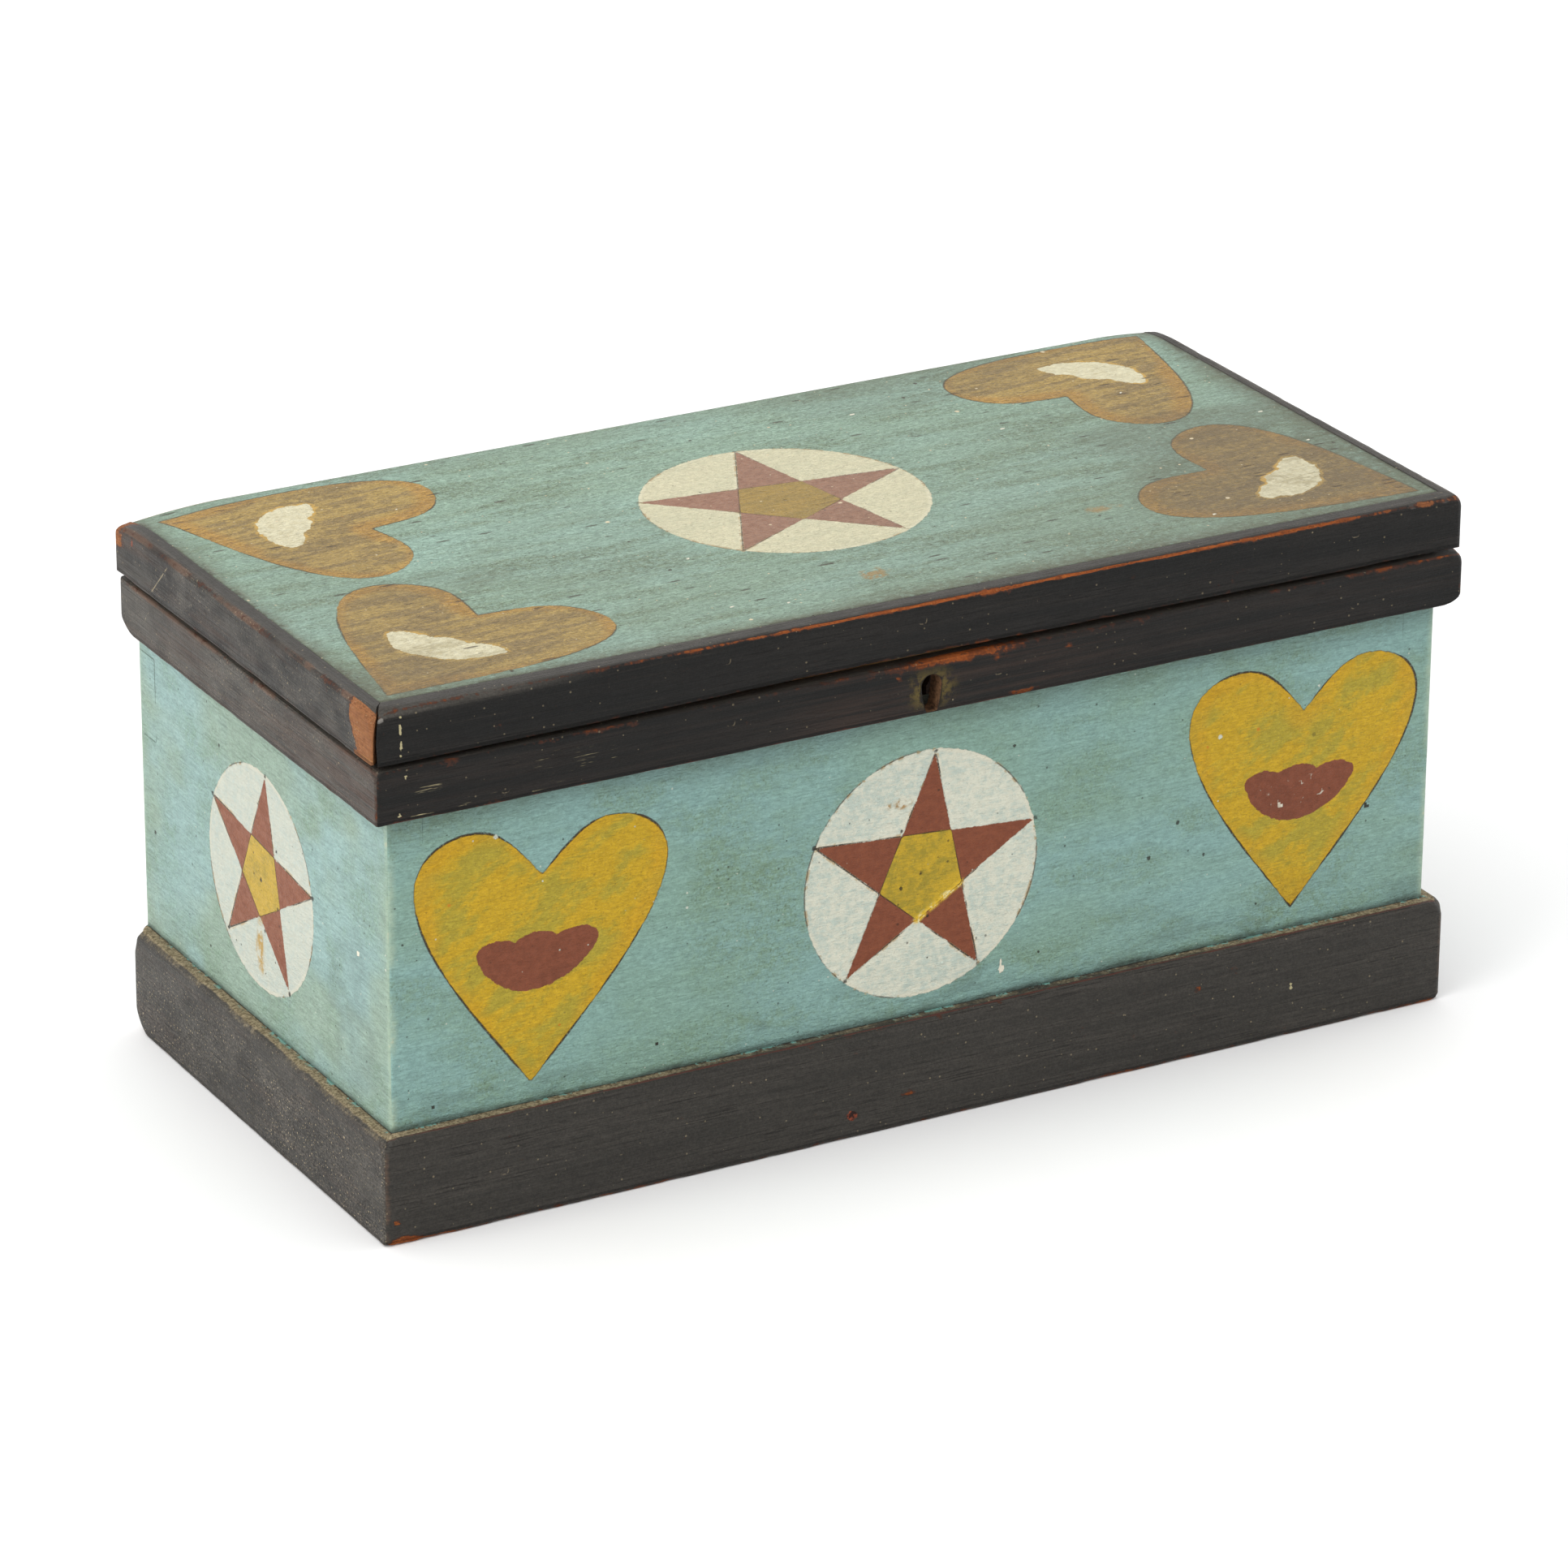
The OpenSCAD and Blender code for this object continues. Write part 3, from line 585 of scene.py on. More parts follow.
    # Along the pentagon's ridge, the cream spots of ridge_highlight are a painted highlight on the raised paint.
    col = m.mix(m.mul(ridge, m.ramp(fine, 0.30, 0.50)), col, m.mix(m.ramp(m.add(m.mul(fine, 0.6), m.mul(speck, 0.4)), 0.52, 0.62), pal["ridge"], pal["ridge_highlight"]))

    # chips round the edges of the white ground and the star
    rims = m.math("MINIMUM", m.math("ABSOLUTE", m.add(sd_disc, 0.2)), m.math("ABSOLUTE", m.add(sd_star, -0.2)))
    chip = m.mul(m.math("SUBTRACT", 1.0, m.ramp(rims, 0.25, 0.75)), m.ramp(m.add(m.mul(fine, 0.7), m.mul(gate, 0.4)), 0.60, 0.66))
    col = m.mix(m.mul(chip, 0.8), col, pal["chip"])

    # scribed outlines, joint lines and compass pricks
    half = m.ramp(gate, 0.36, 0.66, 0.22, pal["line_w"])
    jit = m.mul(m.math("SUBTRACT", fine, 0.5), 0.35)

    def scribe(sd, scale=1.0):
        d = m.math("ABSOLUTE", m.add(sd, jit))
        return m.math("SUBTRACT", 1.0, m.ramp(d, m.mul(half, 0.35 * scale), m.mul(half, scale)))
    line = m.math("MAXIMUM", scribe(sd_heart), m.math("MAXIMUM", m.mul(scribe(sd_disc, 0.60), m.ramp(m.add(gate, m.mul(jit, 0.3)), 0.50, 0.60, pal["disc_line"] * 0.2, pal["disc_line"])), m.math("MAXIMUM", m.mul(scribe(sd_star, 0.62), m.ramp(m.add(gate, m.mul(jit, 0.5)), 0.40, 0.58, 0.12, 0.95)), m.mul(scribe(sd_pent, 0.6), 0.85))))
    line = m.mul(line, m.ramp(gate, 0.26, 0.50, pal["line_min"], 1.0))
    line = m.mul(line, m.ramp(speck, 0.70, 0.50, 0.45, 1.0))
    col = m.mix(m.mul(line, pal["line"]), col, pal["scribe"])
    joint = m.mul(m.math("SUBTRACT", 1.0, m.ramp(m.math("ABSOLUTE", m.add(m.attr("joint"), m.mul(jit, 0.6))), 0.10, 0.34)), m.ramp(m.add(gate, m.mul(fine, 0.3)), 0.48, 0.62))
    col = m.mix(m.mul(joint, 0.75), col, pal["teal_dark"])
    hole = m.math("SUBTRACT", 1.0, m.ramp(m.add(prick, m.mul(wob, 0.9)), 0.40, 0.95))
    col = m.mix(m.mul(hole, pal["prick"]), col, pal["pit"])

    # grime with painted shade, knocks and flecks
    col = m.mix(m.mul(pale, m.ramp(fine, 0.30, 0.60, 0.55, 1.0)), col, pal["pale"])
    col = m.mix(m.mul(m.attr("lap"), m.ramp(fine, 0.30, 0.55, 0.4, 1.0)), col, lin(62, 57, 50))
    clean = m.math("SUBTRACT", 1.0, m.mul(m.math("MAXIMUM", m.mul(inside(sd_accent, wob, 0.35, -1.0), m_heart), m.math("SUBTRACT", m_disc, m_star)), 0.75))
    # dirt_and_shade darkens towards shade_and_grime: grime, and painted shade under the rim strip and in the seam above
    # the base strip.
    col = m.mix(m.mul(m.mul(dirt_and_shade, clean), m.ramp(fine, 0.25, 0.62, 0.60, 1.0)), col, m.mix(m_heart, pal["shade_and_grime"], pal["grime_heart"]))
    pits = m.math("MAXIMUM", m.blobs(F, 105.0, 0.085, pal["pits"], 0.0, "2D", rag), m.math("MAXIMUM", m.blobs(F, 46.0, 0.05, pal["pits"], 3.1, "2D", m.mul(rag, 0.5)), m.mul(m.blobs(F, 300.0, 0.14, pal["pits"], 5.7, "2D", rag), 0.7)))
    pits = m.mul(pits, m.math("SUBTRACT", 1.0, m.mul(m_heart, 0.5)))
    if pal["scars"]:
        pits = m.math("MAXIMUM", pits, m.mul(m.blobs(m.scaled(F, (0.20, 1, 1)), 330.0, 0.22, pal["scars"], 6.2, "2D", m.mul(rag, 1.6)), m.ramp(sd_disc, -0.5, 1.0, 0.0, 0.85)))
    col = m.mix(m.mul(pits, 0.85), col, pal["pit"])
    nubs = m.blobs(F, 190.0, 0.12, pal["nubs"], 11.3, "2D", rag)
    # The nubs are lightened: a painted highlight on the tiny raised bumps.
    col = m.tint(col, m.add(m.mul(nubs, 0.16), 1.0))
    flecks = m.math("MAXIMUM", m.blobs(F, 150.0, 0.085, pal["flecks"], 7.7, "2D", rag), m.blobs(F, 58.0, 0.055, pal["flecks"] * 1.6, 1.9, "2D", m.mul(rag, 0.5)))
    flecks = m.math("MAXIMUM", flecks, m.mul(m.blobs(F, 330.0, 0.14, pal["flecks"], 2.9, "2D", rag), 0.7))
    col = m.mix(m.mul(flecks, 0.9), col, pal["fleck"])
    wear = m.math("SUBTRACT", m.add(m.attr("wear"), m.mul(m.math("SUBTRACT", fine, 0.5), 0.9)), 0.5)
    bare = m.ramp(wear, -0.08, 0.10)
    col = m.mix(bare, col, pal["bare"])
    stain = m.attr("stain")
    col = m.mix(m.mul(stain, m.ramp(fine, 0.36, 0.56)), col, pal["stain"])
    drip = m.attr("drip")
    drop = m.ramp(m.add(drip, m.mul(m.math("SUBTRACT", fine, 0.5), 0.3)), 0.42, 0.58)
    col = m.mix(drop, col, pal["drip"])

    h = m.mul(grain, pal["grain_h"])
    h = m.add(h, m.mul(smear, 0.08))
    h = m.add(h, m.mul(fine, 0.22))
    h = m.add(h, m.mul(speck, pal["speck_h"]))
    h = m.add(h, m.mul(hair, pal["hair_h"]))
    h = m.add(h, m.mul(curl, pal["curl_h"]))
    h = m.add(h, m.mul(nubs, 0.14))
    h = m.add(h, m.mul(lip, m.mul(m_disc, 0.06)))
    raised = m.math("MAXIMUM", m_heart, m_disc)
    h = m.add(h, m.mul(raised, 0.05))
    h = m.add(h, m.mul(m.math("MAXIMUM", m_star, m_accent), 0.04))
    h = m.add(h, m.mul(line, -0.16))
    h = m.add(h, m.mul(joint, -0.15))
    h = m.add(h, m.mul(hole, -0.35))
    h = m.add(h, m.mul(pits, -0.25))
    h = m.add(h, m.mul(flecks, 0.12))
    h = m.add(h, m.mul(drop, 0.15))
    rough = m.ramp(m.add(m.mul(fine, 0.5), m.mul(grain, 0.5)), 0.3, 0.7, gloss - 0.06, gloss + 0.10)
    return m.finish(col, rough, h, 0.001, 0.22)


def black_material(name):
    """Worn black paint on pine strips; su runs along a strip and sv round it, in metres."""
    m = Mat(name)
    P = m.pos()
    S = m.vec(m.attr("su"), m.attr("sv"), m.attr("sid"))
    grain = m.noise(m.scaled(S, (18, 900, 1)), 1.0, 4.0, 0.62)
    brush = m.noise(m.scaled(S, (60, 2600, 1), loc=(4, 2, 0)), 1.0, 3.0, 0.6)
    band = m.noise(m.scaled(S, (9, 150, 1), loc=(1, 7, 0)), 1.0, 4.0, 0.6)
    grit = m.noise(P, 1700.0, 2.0, 0.6)
    fine = m.noise(P, 560.0, 4.0, 0.65)
    mid = m.noise(P, 140.0, 4.0, 0.66)
    fc, mc = m.math("SUBTRACT", fine, 0.5), m.math("SUBTRACT", mid, 0.5)

    grey_and_sheen = m.attr("grey_and_sheen")
    gc = m.math("SUBTRACT", grain, 0.5)
    col = m.mix(m.ramp(band, 0.36, 0.66), lin(21, 21, 20), lin(31, 29, 27))
    col = m.mix(m.mul(m.ramp(grain, 0.56, 0.76), 0.40), col, lin(50, 45, 40))
    col = m.mix(m.mul(m.ramp(brush, 0.58, 0.78), 0.60), col, lin(11, 10, 10))
    # grey_and_sheen mixes in a lighter grey: greyish worn paint with random mottling, and a painted sheen where light
    # catches the strips' tops, rounded edges and the end strips' outer faces.
    col = m.mix(m.mul(grey_and_sheen, m.ramp(m.add(m.add(m.mul(band, 0.5), m.mul(gc, 1.0)), m.mul(fc, 0.6)), -0.10, 0.60, 0.55, 1.0)), col, lin(84, 80, 74))
    col = m.tint(col, m.ramp(grit, 0.30, 0.70, 0.80, 1.20))
    groove = m.mul(m.ramp(brush, 0.55, 0.67), m.ramp(band, 0.42, 0.58, 0.25, 1.0))
    col = m.tint(col, m.math("SUBTRACT", 1.0, m.mul(groove, 0.48)))
    col = m.tint(col, m.ramp(brush, 0.36, 0.47, 1.20, 1.0))
    edge = m.ramp(m.add(m.attr("edge"), m.add(m.mul(fc, 0.5), m.mul(gc, 0.5))), 0.30, 0.80)
    col = m.mix(m.mul(edge, 0.75), col, lin(96, 74, 60))
    # A pale grey where chalk_and_highlight is set: a painted highlight on the lid strip's rounded left corner, and pale
    # patches on its top edge near the right end.
    col = m.mix(m.mul(m.ramp(m.add(m.attr("chalk_and_highlight"), m.mul(fc, 0.5)), 0.25, 0.9), 0.7), col, lin(142, 138, 132))
    brown = m.mul(m.attr("brown"), m.ramp(m.add(band, m.mul(gc, 0.9)), 0.34, 0.70))
    col = m.mix(brown, col, lin(74, 55, 46))
    rub = m.mul(m.attr("rub"), m.ramp(m.add(mid, m.mul(fc, 0.6)), 0.36, 0.60))
    col = m.mix(rub, col, lin(96, 82, 40))

    # wear through the paint: a red-brown ground first, then bare wood
    wear = m.add(m.attr("wear"), m.add(m.mul(fc, 0.70), m.mul(mc, 1.1)))
    ground = m.ramp(wear, 0.26, 0.46)
    bare = m.ramp(wear, 0.48, 0.62)
    raw = m.attr("raw")
    tone = m.ramp(m.add(m.mul(brush, 0.5), m.mul(fine, 0.5)), 0.36, 0.64)
    wood = m.mix(tone, lin(146, 76, 30), lin(104, 52, 24))
    wood = m.mix(m.mul(m.ramp(grit, 0.56, 0.72), 0.35), wood, lin(170, 116, 62))
    wood = m.mix(m.mul(m.ramp(mid, 0.50, 0.68), 0.55), wood, lin(76, 42, 26))
    plain = m.mix(tone, lin(140, 94, 60), lin(114, 72, 46))
    plain = m.mix(m.mul(m.ramp(m.add(m.mul(grain, 0.6), m.mul(mid, 0.4)), 0.50, 0.64), 0.55), plain, lin(146, 106, 62))
    plain = m.mix(m.mul(m.ramp(grit, 0.60, 0.74), 0.5), plain, lin(88, 58, 40))
    wood = m.mix(raw, wood, plain)
    col = m.mix(m.mul(ground, 0.80), col, lin(66, 38, 26))
    col = m.mix(bare, col, wood)
    redline = m.ramp(m.add(m.attr("redline"), m.mul(mc, 1.1)), 0.40, 0.62)
    col = m.mix(m.mul(redline, 0.7), col, lin(86, 46, 38))

    dusty = m.ramp(m.add(m.attr("dust"), m.mul(fc, 0.7)), 0.22, 0.75)
    col = m.mix(dusty, col, m.mix(m.ramp(m.noise(P, 1100.0, 3.0, 0.7), 0.32, 0.68), lin(92, 80, 60), lin(158, 144, 116)))
    fleck_teal = m.mul(m.attr("tealfleck"), m.ramp(m.add(mid, m.mul(fc, 0.5)), 0.56, 0.62))
    col = m.mix(fleck_teal, col, lin(118, 168, 158))

    # square nail heads under the paint, flecks, drips
    nu, nv = m.attr("nailu"), m.attr("nailv")
    box = m.math("SUBTRACT", m.math("POWER", m.add(m.math("POWER", m.math("ABSOLUTE", nu), 3.0), m.math("POWER", m.math("ABSOLUTE", nv), 3.0)), 0.3333), 1.25)
    ring = m.math("SUBTRACT", 1.0, m.ramp(m.math("ABSOLUTE", m.add(box, m.mul(fc, 0.5))), 0.06, 0.24))
    ring = m.mul(ring, m.mul(m.ramp(m.add(m.mul(nu, 0.5), m.mul(nv, -1.0)), -0.2, 1.0), m.ramp(m.add(mid, m.mul(fc, 0.5)), 0.44, 0.56)))
    col = m.mix(m.mul(ring, 0.55), col, lin(128, 116, 94))
    spread = m.attr("specks")
    T = m.vec(m.attr("su"), m.add(m.attr("sv"), m.mul(m.attr("sid"), 0.37)), 0.0)
    flecks = m.math("MAXIMUM", m.blobs(T, 130.0, 0.045, 0.10, 2.2), m.math("MAXIMUM", m.mul(m.blobs(T, 760.0, 0.26, 0.56, 6.1), spread), m.math("MAXIMUM", m.blobs(T, 47.0, 0.024, 0.12, 4.4), m.mul(m.blobs(T, 330.0, 0.14, 0.20, 9.1), 0.55))))
    col = m.mix(m.mul(flecks, m.add(m.mul(grey_and_sheen, 0.25), 0.45)), col, lin(176, 160, 128))
    col = m.tint(col, m.add(m.mul(spread, m.ramp(grit, 0.36, 0.66, -0.42, 0.56)), 1.0))
    scuff = m.attr("scuff")
    streaks = m.mul(m.ramp(scuff, 0.10, 0.35), m.ramp(m.add(m.mul(scuff, 0.5), m.mul(m.math("SUBTRACT", m.noise(m.scaled(S, (130, 2100, 1), loc=(6, 1, 0)), 1.0, 3.0, 0.6), 0.5), 1.8)), 0.44, 0.62))
    col = m.mix(m.mul(streaks, 0.7), col, lin(150, 140, 108))
    scru, scrv = m.attr("scru"), m.add(m.attr("scrv"), m.mul(mc, 1.1))
    scratch = m.mul(m.math("SUBTRACT", 1.0, m.ramp(m.math("ABSOLUTE", scrv), 0.10, 0.30)), m.math("SUBTRACT", 1.0, m.ramp(m.math("ABSOLUTE", m.add(scru, m.mul(mc, 0.8))), 0.75, 1.0)))
    scratch = m.mul(scratch, m.ramp(m.add(mid, m.mul(fc, 0.8)), 0.40, 0.54))
    col = m.mix(m.mul(scratch, 0.62), col, lin(160, 148, 120))
    cream = m.ramp(m.add(m.attr("cream"), m.mul(m.math("SUBTRACT", m.noise(m.scaled(S, (260, 1500, 1)), 1.0, 3.0), 0.5), 1.0)), 0.46, 0.60)
    col = m.mix(m.mul(cream, 0.9), col, lin(176, 166, 128))
    rust = m.ramp(m.add(m.attr("rust"), m.mul(fc, 0.6)), 0.4, 0.6)
    col = m.mix(rust, col, m.mix(m.ramp(fine, 0.44, 0.60), lin(38, 20, 16), lin(132, 64, 42)))

    h = m.add(m.mul(grain, 0.46), m.mul(brush, 0.22))
    h = m.add(h, m.mul(mid, 0.08))
    h = m.add(h, m.mul(fine, 0.14))
    h = m.add(h, m.mul(grit, 0.06))
    h = m.add(h, m.mul(bare, -0.07))
    h = m.add(h, m.mul(dusty, m.mul(fine, 0.30)))
    h = m.add(h, m.mul(flecks, 0.06))
    h = m.add(h, m.mul(ring, -0.08))
    h = m.add(h, m.mul(m.ramp(box, 0.3, -0.1), -0.04))
    h = m.add(h, m.mul(cream, 0.05))
    h = m.add(h, m.mul(scratch, -0.10))
    h = m.add(h, m.mul(groove, -0.14))
    rough = m.ramp(m.add(m.mul(mid, 0.5), m.mul(grain, 0.5)), 0.3, 0.7, 0.36, 0.52)
    rough = m.add(rough, m.mul(m.math("MAXIMUM", dusty, bare), 0.30))
    return m.finish(col, rough, h, 0.001, 0.15)


def pine_material(name, grain_axis, skin=None, hole_shade_and_grime=None, pith=0.03):
    """Bare aged pine with its grain along one axis. skin=(axis, limit, colour set) paints the faces past a plane,
    hole_shade_and_grime=(x, z, radius) blackens the wood round a hole along Y, a painted shade inside the keyhole
    together with grime."""
    m = Mat(name)
    P = m.pos()
    x, y, z = m.axes()
    order = {"x": (x, y, z), "y": (y, x, z), "z": (z, x, y)}[grain_axis]
    G = m.vec(*order)
    # growth rings round a pith that lies below the board and runs a little askew to it
    along, across, up = m.axes(G)
    warp = m.noise(m.scaled(G, (7, 16, 16)), 1.0, 3.0, 0.5)
    dy = m.add(m.add(across, -0.018), m.mul(m.math("SUBTRACT", warp, 0.5), 0.030))
    dz = m.add(m.add(up, m.mul(along, 0.035)), pith)
    r = m.math("SQRT", m.add(m.mul(dy, dy), m.mul(dz, dz)))
    saw = m.math("FRACT", m.mul(m.add(r, m.mul(m.noise(m.scaled(G, (9, 60, 60), loc=(4, 0, 0)), 1.0, 2.0), 0.0035)), 235.0))
    ring = m.mul(m.ramp(saw, 0.10, 0.86), m.ramp(saw, 1.0, 0.90))
    fibre = m.noise(m.scaled(G, (30, 1500, 1500)), 1.0, 4.0, 0.6)
    coarse = m.noise(m.scaled(G, (9, 160, 160)), 1.0, 4.0, 0.6)
    patch = m.noise(P, 18.0, 4.0, 0.6)
    fine = m.noise(P, 600.0, 3.0, 0.6)
    col = m.mix(m.ramp(patch, 0.34, 0.68), lin(186, 150, 104), lin(170, 132, 88))
    col = m.mix(m.mul(ring, 0.55), col, lin(136, 92, 54))
    col = m.mix(m.mul(m.ramp(coarse, 0.45, 0.72), 0.45), col, lin(148, 108, 68))
    col = m.mix(m.mul(m.ramp(fibre, 0.5, 0.75), 0.45), col, lin(112, 78, 48))
    col = m.mix(m.mul(m.ramp(m.noise(P, 31.0, 5.0, 0.65, 0.5), 0.52, 0.76), 0.50), col, lin(112, 86, 60))
    kd, kc = m.cells(m.scaled(G, (7, 22, 22), loc=(0.3, 0.1, 0.7)), 1.0)
    knot = m.math("SUBTRACT", 1.0, m.ramp(kd, 0.02, 0.10))
    col = m.mix(m.mul(knot, 0.8), col, lin(86, 48, 26))
    stains = m.blobs(P, 22.0, 0.22, 0.12, 3.0, "3D")
    col = m.mix(m.mul(stains, 0.35), col, lin(70, 50, 36))
    dots = m.blobs(P, 150.0, 0.10, 0.4, 8.0, "3D")
    col = m.mix(m.mul(dots, 0.7), col, lin(52, 36, 26))
    h = m.add(m.mul(fibre, 0.07), m.add(m.mul(ring, 0.06), m.mul(fine, 0.02)))
    h = m.add(h, m.mul(dots, -0.1))
    rough = m.ramp(coarse, 0.3, 0.7, 0.58, 0.78)
    if hole_shade_and_grime:
        # Inside the keyhole the wood is darkened: painted shade of the deep hole together with grime.
        hx, hz, hr = hole_shade_and_grime
        dx, dz = m.math("SUBTRACT", x, hx), m.math("SUBTRACT", z, hz)
        d = m.math("SQRT", m.add(m.mul(dx, dx), m.mul(m.mul(dz, dz), 0.35)))
        col = m.mix(m.ramp(m.add(d, m.mul(m.math("SUBTRACT", patch, 0.5), 0.002)), hr, hr * 0.75), col, m.mix(m.ramp(fibre, 0.4, 0.7), lin(44, 31, 22), lin(26, 18, 14)))
    if skin:
        axis, limit, pal = skin
        past = m.math("GREATER_THAN", {"x": x, "y": y, "z": z}[axis], limit)
        layers = paint_layers(m, P, (26, 60, 700), (190, 60, 1900), (520, 60, 1350))
        grain, hair, curl, fine, speck = layers
        F = m.vec(x, z, 0.0)
        rag = m.mul(m.math("SUBTRACT", speck, 0.5), 0.10)
        hue = m.ramp(m.noise(m.scaled(P, (22, 22, 42)), 1.0, 4.0), 0.36, 0.66)
        green = m.mul(m.ramp(m.noise(m.scaled(P, (38, 38, 95), loc=(2, 0, 5)), 1.0, 6.0, 0.66), 0.44, 0.70), 0.60)
        paint = ground_coat(m, layers, pal, hue, green)
        # Darker towards the bottom of the painted faces.
        darker_low = m.ramp(m.add(z, m.mul(m.math("SUBTRACT", m.noise(m.scaled(P, (30, 30, 60)), 1.0, 4.0), 0.5), 0.03)), 0.030, 0.0, 0.0, 0.45)
        paint = m.mix(darker_low, paint, pal["shade_and_grime"])
        pits = m.math("MAXIMUM", m.blobs(F, 105.0, 0.085, 0.08, 0.0, "2D", rag), m.blobs(F, 46.0, 0.05, 0.08, 3.1, "2D", m.mul(rag, 0.5)))
        paint = m.mix(m.mul(pits, 0.85), paint, pal["pit"])
        flecks = m.math("MAXIMUM", m.blobs(F, 150.0, 0.085, 0.05, 7.7, "2D", rag), m.blobs(F, 58.0, 0.055, 0.06, 1.9, "2D", m.mul(rag, 0.5)))
        paint = m.mix(m.mul(flecks, 0.9), paint, pal["fleck"])
        # rubbed through at the upright corners, the foot and a few knocks
        side = m.ramp(m.math("ABSOLUTE", x), 0.1715, 0.1755)
        foot = m.ramp(z, 0.0035, 0.0)
        knock = m.ramp(m.add(m.noise(m.scaled(P, (60, 60, 90)), 1.0, 5.0, 0.7), m.mul(m.noise(P, 9.0, 2.0), 0.6)), 0.98, 1.08)
        worn = m.add(m.add(m.mul(m.math("MAXIMUM", side, foot), 0.62), m.mul(m.math("SUBTRACT", fine, 0.5), 0.9)), m.mul(m.math("SUBTRACT", m.noise(P, 120.0, 4.0, 0.6), 0.5), 1.1))
        rubbed = m.math("MAXIMUM", knock, m.ramp(worn, 0.50, 0.62))
        paint = m.mix(m.mul(m.ramp(worn, 0.34, 0.50), 0.6), paint, pal["pale"])
        paint = m.mix(rubbed, paint, m.mix(0.55, col, lin(112, 92, 68)))
        hp = m.add(m.add(m.mul(grain, pal["grain_h"]), m.mul(fine, 0.22)), m.add(m.mul(hair, pal["hair_h"]), m.mul(curl, pal["curl_h"])))
        hp = m.add(m.add(hp, m.mul(pits, -0.25)), m.add(m.mul(flecks, 0.12), m.mul(rubbed, -0.12)))
        h = m.add(m.mul(h, m.math("SUBTRACT", 1.0, past)), m.mul(hp, past))
        col = m.mix(past, col, paint)
        rough = m.add(m.mul(rough, m.math("SUBTRACT", 1.0, past)), m.mul(m.ramp(m.add(m.mul(fine, 0.5), m.mul(grain, 0.5)), 0.3, 0.7, 0.44, 0.60), past))
    return m.finish(col, rough, h, 0.001, 0.30)


def metal_material(name, base, dark, rusty, rust_amount, rough0):
    m = Mat(name)
    P = m.pos()
    patch = m.noise(P, 120.0, 5.0, 0.65, 0.4)
    fine = m.noise(P, 900.0, 4.0, 0.65)
    file_marks = m.noise(m.scaled(P, (160, 3200, 3200)), 1.0, 3.0, 0.6)
    col = m.mix(m.ramp(patch, 0.36, 0.66), base, dark)
    col = m.mix(m.mul(m.ramp(file_marks, 0.52, 0.72), 0.35), col, dark)
    spots = m.ramp(m.add(m.mul(patch, 0.6), m.mul(fine, 0.4)), 0.62 - rust_amount, 0.74 - rust_amount)
    col = m.mix(spots, col, rusty)
    h = m.add(m.mul(fine, 0.05), m.add(m.mul(file_marks, 0.03), m.mul(spots, 0.04)))
    rough = m.add(m.ramp(patch, 0.3, 0.7, rough0, rough0 + 0.14), m.mul(spots, 0.25))
    mat = m.finish(col, rough, h, 0.001, 0.5)
    m.put(m.bsdf.inputs["Metallic"], m.math("SUBTRACT", 0.95, m.mul(spots, 0.8)))
    return mat


CASE_PAL = dict(
    teal_a=lin(124, 157, 152), teal_b=lin(122, 152, 140), teal_dirt=lin(108, 132, 110), teal_light=lin(150, 180, 174), teal_dark=lin(70, 90, 80),
    streak=0.045, grit=0.20, pore=0.12, pore2=0.34, hair=0.075, hair_h=0.14, curl=0.10, curl_h=0.42, grain_h=0.16, glint=0.30, scars=0, nubs=0.10, disc_line=0.75, accent_soil=0.25,
    heart_pore=0.25, heart_grit=0.46, speck_h=0.13, heart_spot=lin(186, 112, 24), lip=lin(208, 202, 182), ridge_highlight=lin(226, 210, 150),
    heart_a=lin(181, 147, 28), heart_b=lin(159, 142, 44), heart_dirt=lin(124, 100, 30), heart_edge=lin(188, 142, 20), heart_light=lin(206, 174, 62), heart_rim=0.55, heart_grime=0.12,
    accent_a=lin(123, 68, 46), accent_b=lin(114, 62, 41), accent_dirt=lin(96, 52, 36), accent_rim=None,
    white_a=lin(202, 202, 185), white_b=lin(167, 181, 172), white_dirt=lin(154, 160, 146), white_light=lin(214, 213, 198), mottle=0.8,
    red_a=lin(124, 68, 44), red_b=lin(114, 61, 40), red_dirt=lin(98, 54, 38), pent_a=lin(182, 150, 36), pent_b=lin(148, 130, 40), ridge=lin(208, 170, 44),
    chip=lin(172, 150, 112), scribe=lin(44, 34, 26), pit=lin(38, 32, 24), shade_and_grime=lin(66, 78, 72), grime_heart=lin(96, 78, 40), pale=lin(152, 172, 152), fleck=lin(192, 198, 184), bare=lin(168, 172, 150),
    stain=lin(150, 112, 52), drip=lin(212, 208, 190), line=0.95, line_w=0.54, line_min=0.50, prick=0.95, flecks=0.025, pits=0.06,
)
